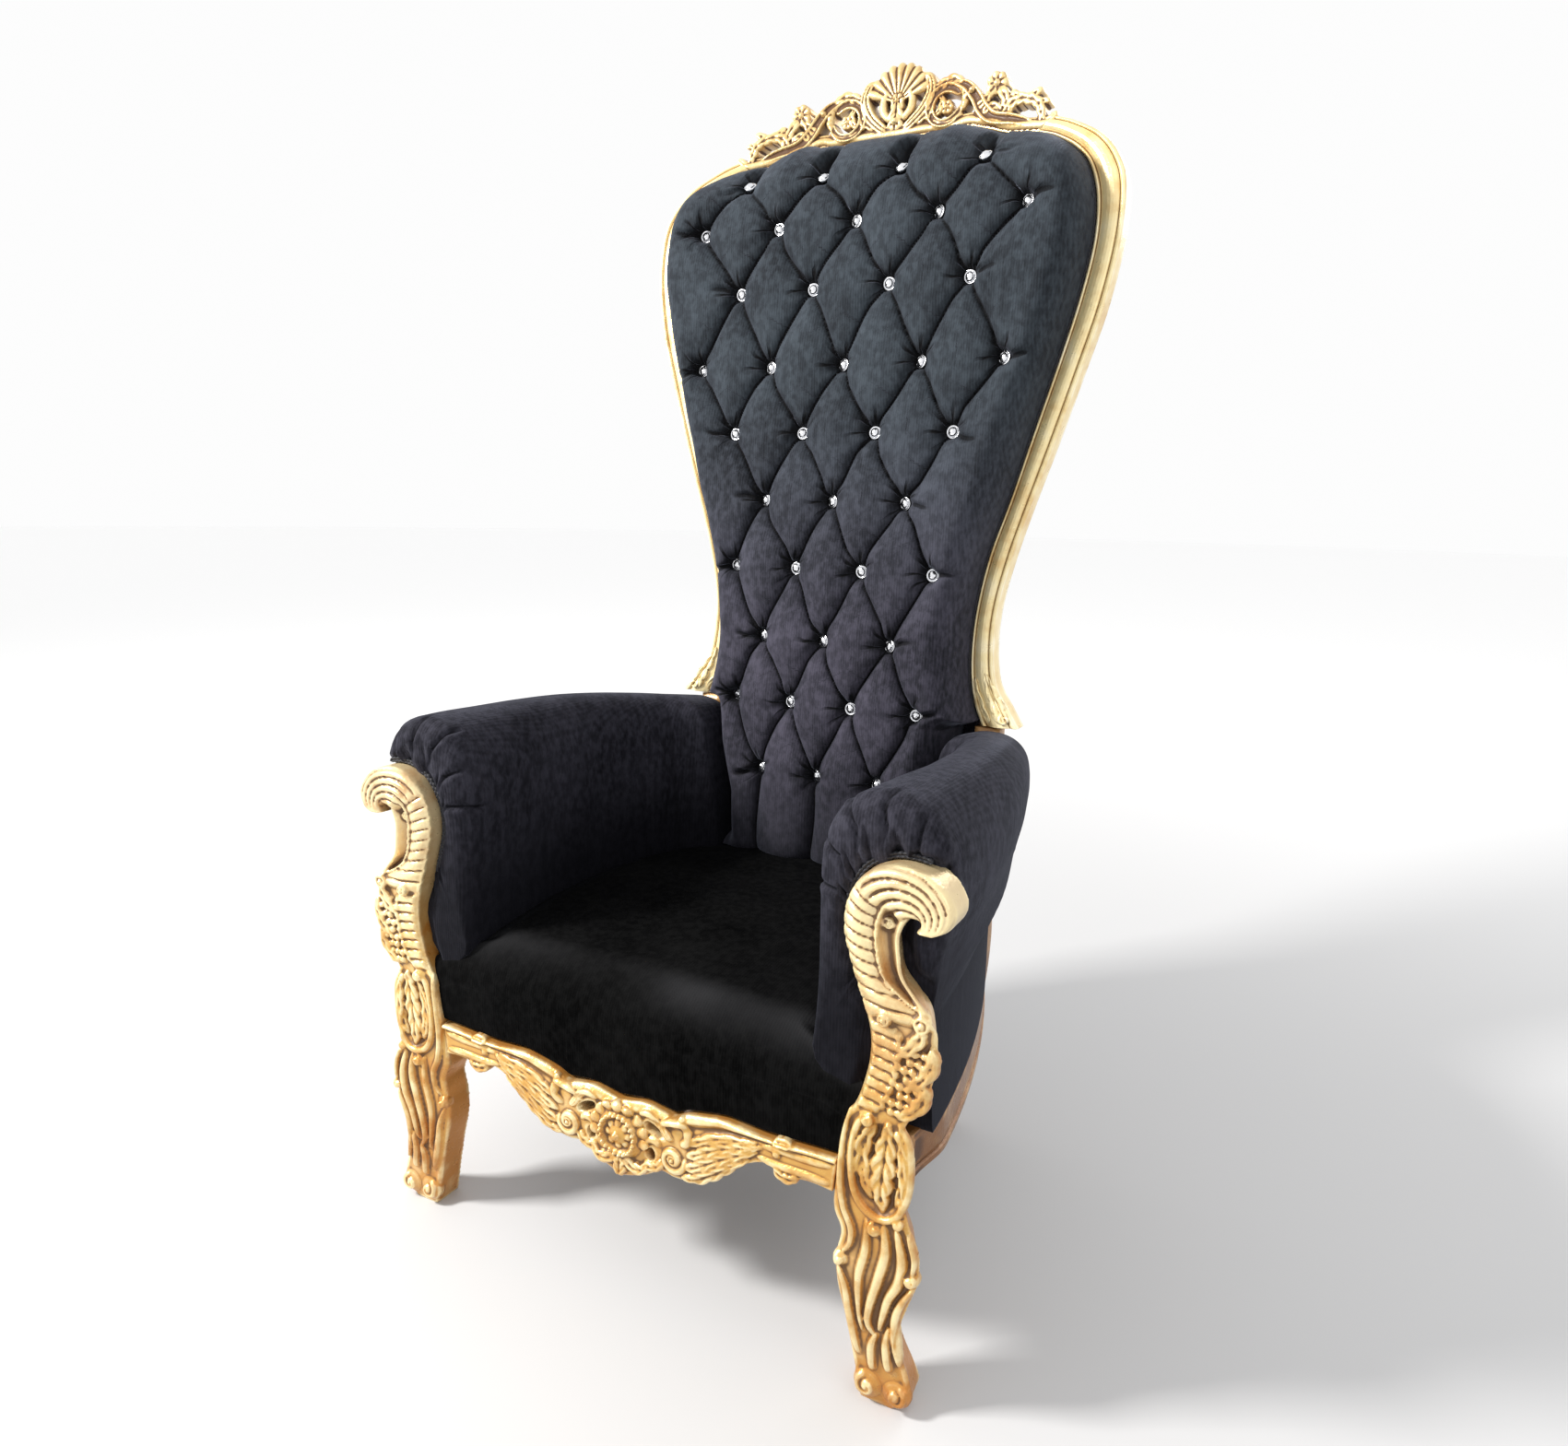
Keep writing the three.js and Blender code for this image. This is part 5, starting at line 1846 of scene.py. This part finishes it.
@dataclass
class Arm:
    """A rolled arm, pleated where it turns over behind the scroll."""

    front: float = 12.0
    rear: float = 618.0
    top_front: float = 768.0
    top_rear: float = 714.0
    top_rise: float = 14.0
    spring: float = 653.0
    corner_y: float = 60.0
    corner_z: float = 400.0
    cloth_bottom: float = 341.0
    corner: float = 46.0
    turn_in: float = 34.0
    inner_line: Profile = (
        (0, 272), (100, 285), (210, 297), (330, 295), (430, 278), (490, 248), (535, 196), (700, 194))
    outer_line: Triple = (441, 452, 352)
    side_line: Triple = (419, 415, 293)
    under_roll: Profile = ((630, -2), (605, -8), (585, -13), (560, -17), (530, -21))
    heart: tuple[float, float] = (356.0, 585.0)
    cheek: tuple[float, float] = (400.0, 600.0)
    scroll_eye: tuple[float, float] = (400.0, 628.0)
    pleat_turns: tuple[float, ...] = (34, 58, 84, 108, 130, 150, 168)
    around: int = 300
    along: int = 150
    rounding: int = 26

    def share(self, y: Array) -> Array:
        """How far along the arm y is."""
        return (y - self.front) / (self.rear - self.front)

    def inner(self, y: Array, z: Array) -> Array:
        """The x of the inner wall."""
        return np.interp(y, *zip(*self.inner_line)) + 36 * ease(y, 430, 535) * ((z - 470) / 250)

    def outer(self, y: Array) -> Array:
        """The x of the roll's outside."""
        return bow(self.share(y), *self.outer_line)

    def side(self, y: Array) -> Array:
        """The x of the flat side below the roll."""
        return bow(self.share(y), *self.side_line)

    def top(self, y: Array) -> Array:
        """The height of the roll."""
        v = self.share(y)
        return self.top_front + (self.top_rear - self.top_front) * v + self.top_rise * 4 * v * (1 - v)

    def section(self, y: float, count: int) -> Array:
        """Evenly spaced x, z round the arm's section at y, from the inner lower corner over the roll.

        Args:
            y: Where the section lies.
            count: How many points.

        Returns:
            Rows of x and z.
        """
        past = float(ease(y, self.corner_y - 6, self.corner_y + 10))
        low = lerp(self.corner_z, self.cloth_bottom, past)
        outer, side = float(self.outer(y)), float(self.side(y))
        spring_in = float(self.inner(y, self.spring))
        middle, half = (spring_in + outer) / 2, (outer - spring_in) / 2
        soft = max(self.corner * (1 - past), 0.3)
        wall = float(self.inner(y, low))
        rows = [(wall + out * soft, low + up * soft) for out, up in ((1.5, 0), (0.6, 0.2), (0.15, 0.6))]
        rows += [(float(self.inner(y, z)), z) for z in np.linspace(low + soft, self.spring - 20, 12)]
        for k in range(25):
            turn = math.pi * (1 - k / 24)
            c, s = math.cos(turn), math.sin(turn)
            across = middle + half * math.copysign(abs(c) ** 0.85, c)
            rows.append((across, self.spring + (float(self.top(y)) - self.spring) * s**0.85))
        for z, out in self.under_roll:
            rows.append((lerp(side, outer, (outer + out - side) / max(outer - side, 1)), z))
        rows += [(side, z) for z in np.linspace(500, low, 8)]
        line = np.array(rows)
        walked = np.concatenate([[0], np.cumsum(np.linalg.norm(np.diff(line, axis=0), axis=1))])
        at = np.linspace(0, walked[-1], count)
        return np.stack([np.interp(at, walked, line[:, i]) for i in range(2)], axis=1)

    def pleats(self, x: Array, y: Array, z: Array) -> Array:
        """The depth of the pleats that fan out from behind the scroll's head.

        Args:
            x: Places across.
            y: Distances back from the toes.
            z: Heights.

        Returns:
            Millimetres, less than 0 on the ridges beside them.
        """
        ex, ez = self.scroll_eye
        turn = np.degrees(np.arctan2(z - ez, x - ex))
        reach = np.hypot(x - ex, z - ez)
        depth = np.zeros_like(x)
        for k, angle in enumerate(self.pleat_turns):
            bend = angle + 5 * np.sin(0.02 * y + k)
            off = np.radians(turn - bend) * reach
            long = 62 + 16 * math.sin(2.3 * k)
            furrow = 6.0 * swell(off, 0, 3.6) * (1 - ease(y, 0.45 * long, long)) * ease(reach, 40, 70)
            ridge = 2.0 * swell(off, 8, 6) * (1 - ease(y, 0.4 * long, long))
            depth += furrow - ridge
        return depth

    def build(self) -> Piece:
        """Builds the left arm.

        Returns:
            The arm.
        """
        skin = self.rings()
        count = len(skin) - 1

        def place(u: Array, v: Array) -> Array:
            """Points round the arm; the last column runs back underneath.

            Args:
                u: Shares of the way round.
                v: Shares of the way along.

            Returns:
                Rows of x, y and z.
            """
            row = np.round(v * count).astype(int)
            column = np.round(u * (self.around + 1)).astype(int) % (self.around + 1)
            spots = skin[row, column].copy()
            x, y, z = spots.T
            sunk = self.pleats(x, y, z)
            pull = np.stack([self.cheek[0] - x, self.cheek[1] - z], axis=1)
            pull /= np.maximum(np.linalg.norm(pull, axis=1, keepdims=True), 1.0)
            facing = ease(y, self.front + self.turn_in, self.front)
            spots[:, ::2] += (sunk * (1 - facing))[:, None] * pull
            spots[:, 1] += sunk * facing
            spots[:, ::2] -= (1.6 * ripple(y, z + x, 46) * ease(y, 60, 140))[:, None] * pull
            spots[:, 1] += self.tuck(x, z) * (1 - ease(y, 22, 50))
            return spots

        return mark_cuts(make_object("rolled_arm_left", wrapped(self.around + 1, count, place)), 0.8, 3.0)

    def rings(self) -> Array:
        """The arm's sections: over its front from the heart, round its turned edge and back to its rear.

        Returns:
            For each section, its points' x, y and z.
        """
        edge, outermost = self.front + self.turn_in, 0.86
        heart = np.array(self.heart)
        rings = []
        for share in (0.0, 0.12, 0.3, 0.5, 0.7, outermost):
            ring = self.inset(self.section(self.front, self.around + 1), self.turn_in)
            rings.append(self.stood(heart + (ring - heart) * (0.04 + 0.96 * share / outermost), self.front))
        rounded = self.front + self.turn_in * (1 - np.cos(np.linspace(0, math.pi / 2, self.rounding)[1:]))
        straight = np.linspace(edge, self.rear, self.along)[1:]
        for y in np.concatenate([rounded, straight]):
            into = max(0.0, 1 - (y - self.front) / self.turn_in)
            drawn_in = self.turn_in * (1 - math.sqrt(max(0.0, 1 - into**2)))
            rings.append(self.stood(self.inset(self.section(float(y), self.around + 1), drawn_in), y))
        return np.array(rings)

    def stood(self, ring: Array, y: float) -> Array:
        """A section's x and z with y put between them."""
        return np.insert(ring, 1, y, axis=1)

    def inset(self, ring: Array, amount: float) -> Array:
        """A section drawn in from its outline by amount, and by less low down beside the seat.

        Args:
            ring: Rows of x and z.
            amount: How far, in millimetres.

        Returns:
            Rows of x and z.
        """
        inward = square_to(np.gradient(ring, axis=0))
        ends = np.minimum(np.arange(len(ring)), np.arange(len(ring))[::-1]) / 16.0
        share = np.clip(ends, 0.1, 1) * lerp(0.16, 1.0, ease(ring[:, 1], 405, 560))
        return ring + inward * amount * share[:, None]

    def tuck(self, x: Array, z: Array) -> Array:
        """How far the front cloth is drawn back round the front post.

        Args:
            x: Places across.
            z: Heights.

        Returns:
            Millimetres.
        """
        reach = 17.0
        a, b = POST.edges(np.linspace(0.3, 1, 120))
        border = np.vstack([a, b[::-1], a[:1]])
        inside = np.zeros(len(x), bool)
        for (px, pz), (qx, qz) in zip(border[:-1], border[1:]):
            inside ^= ((pz > z) != (qz > z)) & (x < px + (z - pz) * (qx - px) / ((qz - pz) or FLAT))
        distance = np.where(inside, 0.0, distance_to(border, x, z))
        return 15.0 * (1 - ease(distance, 0.0, reach))


@dataclass
class Seat:
    """The sprung seat: a crowned top that rolls over a deep front."""

    top: float = 452.0
    crown: float = 24.0
    rear: float = 604.0
    front: float = 4.0
    roll: float = 70.0
    wide: float = 322.0
    bottom: float = 330.0
    front_share: float = 0.3
    roll_share: float = 0.14
    over_apron: float = 5.0

    def half_width(self, y: Array, z: Array) -> Array:
        """The half width between the arms, and below them in front.

        Args:
            y: Distances back from the toes.
            z: Heights.

        Returns:
            Half widths.
        """
        beyond = (1 - ease(z, 402, 466)) * (1 - ease(y, 34, 54))
        post = np.interp(z, (318, 372, 405, 440), (326, 338, 353, 362))
        return lerp(Arm().inner(y, z) + 2.0, post, beyond)

    def build(self) -> Piece:
        """Builds the seat.

        Returns:
            The seat.
        """

        def upper(u: Array, v: Array) -> Array:
            """The front and top of the seat.

            Args:
                u: Shares of the way across.
                v: Shares of the way from the front's foot to the rear.

            Returns:
                Rows of x, y and z.
            """
            t = 2 * u - 1
            rolled = self.front_share + self.roll_share
            lift = np.clip(v / self.front_share, 0, 1)
            turn = np.clip((v - self.front_share) / self.roll_share, 0, 1) * (math.pi / 2)
            run = np.clip((v - rolled) / (1 - rolled), 0, 1) * (self.rear - self.front - self.roll)
            y = self.front - 3 * arch(2 * lift - 1) + self.roll * (1 - np.cos(turn)) + run
            crown = self.crown * np.sin(np.pi * (y + 60) / 760)
            level = self.top + crown * (1 - 0.5 * t**2) - 12 * ease(np.abs(t), 0.86, 1.0)
            shoulder = level - self.roll
            front = lerp(self.foot(t), shoulder, lift)
            z = np.where(v < self.front_share, front, shoulder + self.roll * np.sin(turn))
            soft = 1.3 * ripple(t * 260, y, 60) * ease(v, 0.3, 0.5) * (1 - ease(np.abs(t), 0.8, 1))
            return np.stack([t * self.half_width(y, z), y, z + soft], axis=1)

        def under(u: Array, v: Array) -> Array:
            """The flat underside."""
            t = 1 - 2 * u
            y = lerp(self.front + 2, self.rear, v)
            z = lerp(self.foot(t), self.bottom, ease(y, 20, 60))
            return np.stack([t * self.half_width(y, z), y, z], axis=1)

        shell = bridged(net(150, 150, upper), net(24, 24, under))
        return mark_cuts(make_object("sprung_seat", shell), 0.8, 3.0)

    def foot(self, t: Array) -> Array:
        """The height of the front's foot, just over the apron, at t across, -1 to 1."""
        x, z = np.array(APRON_HALF)[:, :2].T
        return np.interp(np.abs(t) * self.wide, x, z) + self.over_apron


@dataclass
class BackPanel:
    """The plain outside back: velvet stretched over a board."""

    offset: float = 36.0
    thick: float = 8.0
    puff: float = 3.0
    levels: Profile = (
        (332, 256), (520, 256), (716, 256), (724, 254), (790, 250), (850, 246), (920, 251), (1000, 266),
        (1085, 293), (1185, 321), (1290, 351), (1385, 375), (1465, 388), (1530, 385), (1580, 368),
        (1620, 335), (1640, 290), (1656, 268), (1668, 205), (1680, 134), (1688, 60))

    def build(self) -> Piece:
        """Builds the panel.

        Returns:
            The panel.
        """
        z_at, half_at = np.array(self.levels).T

        def place(u: Array, v: Array, rear: bool) -> Array:
            """Points over the rear face or, the other way round, over the front one.

            Args:
                u: Shares of the way across.
                v: Shares of the way up.
                rear: Whether it is the rear face.

            Returns:
                Rows of x, y and z.
            """
            z = lerp(z_at[0], z_at[-1], v)
            t = 1 - 2 * u if rear else 2 * u - 1
            x = t * np.interp(z, z_at, half_at)
            out = self.thick + self.puff * (arch(t, 4) * arch(2 * v - 1, 8) - 1) if rear else 0.0
            return np.stack([x, BACK.face(x, z) + self.offset + out, z], axis=1)

        rear, front = (net(60, 120, partial(place, rear=side)) for side in (True, False))
        return mark_cuts(make_object("outside_back", bridged(rear, front)), 0.8, 3.0)


@dataclass
class Gimp:
    """Looped braid glued over the edges of the velvet."""

    half: float = 4.5
    height: float = 3.0
    loop: float = 7.0
    sink: float = 1.5

    def lay(self, name: str, path: Array, base: Surface) -> Piece:
        """Lays a braid and its mirror image.

        Args:
            name: The piece's name.
            path: Rows of x and z that it follows.
            base: The surface it lies on.

        Returns:
            The braid.
        """
        work = Carving(name, base)
        length = np.linalg.norm(np.diff(path, axis=0), axis=1).sum()
        loops = max(4, round(length / self.loop))

        def edges(s: Array) -> tuple[Array, Array]:
            """The braid's two scalloped edges."""
            at = smooth_curve(path, s)
            wave = lobes(s, loops, 1)
            out = beside(path, s) * (self.half * (0.75 + 0.25 * wave) * arch(2 * s - 1, 40))[:, None]
            return at - out, at + out

        def face(s: Array, t: Array) -> Array:
            """Two rows of loops side by side."""
            wave = np.abs(np.sin(np.pi * (loops * s + 0.5 * (t > 0.5))))
            return self.height * (0.5 + 0.5 * wave) * np.abs(np.sin(2 * np.pi * t)) ** 0.6 + 0.4

        work.strip(edges, face, self.sink, 6 * loops, 25)
        work.mirror()
        return make_object(name, work.solid)


# ---- the room -------------------------------------------------------------------------------


@dataclass
class Studio:
    """A pale floor, soft lights and the camera."""

    eye: Triple = (0.7964, -1.3693, 1.0846)
    yaw: float = math.radians(27.4016)
    pitch: float = math.radians(-12.9027)
    roll: float = math.radians(1.1508)
    lens: float = 23.628
    shift: tuple[float, float] = (-0.02443, 0.00571)
    sky_light: float = 0.98
    floor_radius: float = 30.0

    def camera(self) -> None:
        """Sets the camera up."""
        ahead = Vector((-math.sin(self.yaw), math.cos(self.yaw), 0))
        forward = math.cos(self.pitch) * ahead + math.sin(self.pitch) * Vector((0, 0, 1))
        level = Vector((math.cos(self.yaw), math.sin(self.yaw), 0))
        upright = level.cross(forward)
        right = math.cos(self.roll) * level + math.sin(self.roll) * upright
        up = -math.sin(self.roll) * level + math.cos(self.roll) * upright
        data = bpy.data.cameras.new("camera")
        data.sensor_width, data.lens, data.clip_end = 36.0, self.lens, 60.0
        data.shift_x, data.shift_y = self.shift
        camera = put("camera", data)
        turn = Matrix((right, up, -forward)).transposed().to_4x4()
        camera.matrix_world = Matrix.Translation(self.eye) @ turn
        bpy.context.scene.camera = camera

    def lamp(self, name: str, spot: Triple, target: Triple, size: float, power: float,
             colour: Triple = (1, 1, 1)) -> None:
        """Adds a soft square lamp.

        Args:
            name: Its name.
            spot: Where it hangs.
            target: The point that it faces.
            size: The length of its sides, in metres.
            power: Its power, in watts.
            colour: Its light.
        """
        data = bpy.data.lights.new(name, "AREA")
        data.size, data.energy, data.color = size, power, colour
        lamp = put(name, data)
        lamp.location = spot
        lamp.rotation_euler = (Vector(target) - Vector(spot)).to_track_quat("-Z", "Y").to_euler()

    def build(self) -> None:
        """Lights the room and lays the floor."""
        scene = bpy.context.scene
        scene.view_settings.view_transform = "Standard"
        world = bpy.data.worlds.new("studio")
        world.use_nodes = True
        sky = world.node_tree.nodes["Background"].inputs
        sky[0].default_value, sky[1].default_value = (1.0, 1.0, 1.0, 1), self.sky_light
        scene.world = world
        self.lamp("key", (-2.3, -2.0, 2.9), (0, 0, 0.8), 0.6, 225, (1.0, 0.98, 0.95))
        self.lamp("fill", (2.8, -1.6, 1.9), (0, 0, 0.8), 1.8, 12)
        self.lamp("rim", (0.9, 2.4, 2.6), (0, 0, 1.1), 1.4, 25)
        bm = bmesh.new()
        bmesh.ops.create_circle(bm, cap_ends=True, segments=96, radius=self.floor_radius)
        floor = make_object("floor", bm)
        floor.data.materials.append(Floor().build())


# ---- the throne -----------------------------------------------------------------------------


@dataclass
class Throne:
    """The whole object, dressed piece by piece."""

    finishes: Finishes = field(default_factory=Finishes)

    def pair(self, name: str, left: Piece, slot: str, material: Paint,
             padded: float | None = None) -> None:
        """Dresses a left piece and its mirror image, which stand for the two CAD nodes of that name.

        Args:
            name: The nodes' name, without its side.
            left: The left piece.
            slot: The record's material slot.
            material: Their finish.
            padded: How full they are stuffed, if they are padded; not used.
        """
        right = twin(left, left.name.replace("left", "right"))
        for side, piece in zip(SIDES, (left, right)):
            dress(piece, slot, [f"{name}_{side}"], material)

    def carving(self) -> None:
        """The gilded carving."""
        gilt = self.finishes.gilt
        self.pair("front_post", FrontPost().carve(), "gilt", gilt)
        self.pair("back_stile", BackStile().carve(), "gilt", self.finishes.pale_gilt)
        dress(CrestRail().carve(), "gilt", ["crest_rail"], gilt)
        dress(Apron().carve(), "gilt", ["front_rail"], gilt)

    def woodwork(self) -> None:
        """The plainer rails and rear legs."""
        wood, finish = Woodwork(), self.finishes.old_gilt
        self.pair("rear_leg", wood.rear_leg(), "old_gilt", finish)
        self.pair("side_rail", wood.side_rail(), "old_gilt", finish)
        dress(wood.rear_rail(), "old_gilt", ["rear_rail"], finish)

    def upholstery(self) -> None:
        """Seat, arms, back and buttons."""
        f = self.finishes
        back = ButtonedBack()
        pad = back.build()
        dress(pad, "velvet", ["back_pad"], f.velvet)
        self.pair("arm", Arm().build(), "velvet", f.arm_velvet, 0.9)
        seat = Seat().build()
        dress(seat, "velvet", ["seat_pad"], f.seat_velvet)
        dress(BackPanel().build(), "velvet", ["back_panel"], f.arm_velvet)
        for row, column, x, z in back.seats():
            button = back.button(f"crystal_button_{row}_{column}", x, z)
            dress(button, "crystal", [f"button_{row}_{column}"], f.silver, f.crystal)

    def trim(self) -> None:
        """The braid along the velvet's edges."""
        up, over = ButtonedBack().outline()
        border = np.vstack([up[up[:, 0] > 722][:, ::-1], over[::-1]])
        border = border[::6] - (1.5, 1.5)
        scroll = np.linspace(0.58, 0.852, 40)
        inner, _ = POST.edges(scroll)
        outline = inner - 5.5 * beside(np.array(POST.rows)[:, :2], scroll)
        for name, path, ground in (("braid_back", border, lambda x, z: BACK.face(x, z) - 3),
                                   ("braid_arms", outline, lambda x, z: np.full_like(x, 21.0))):
            dress(Gimp().lay(name, path, ground), "velvet", [], self.finishes.gimp)


def main() -> None:
    """Builds the scene in order."""
    logging.basicConfig(level=logging.INFO, format="%(name)s: %(message)s")
    Studio().camera()
    Studio().build()
    throne = Throne()
    throne.upholstery()
    throne.woodwork()
    throne.carving()
    throne.trim()


if __name__ == "__main__":
    main()
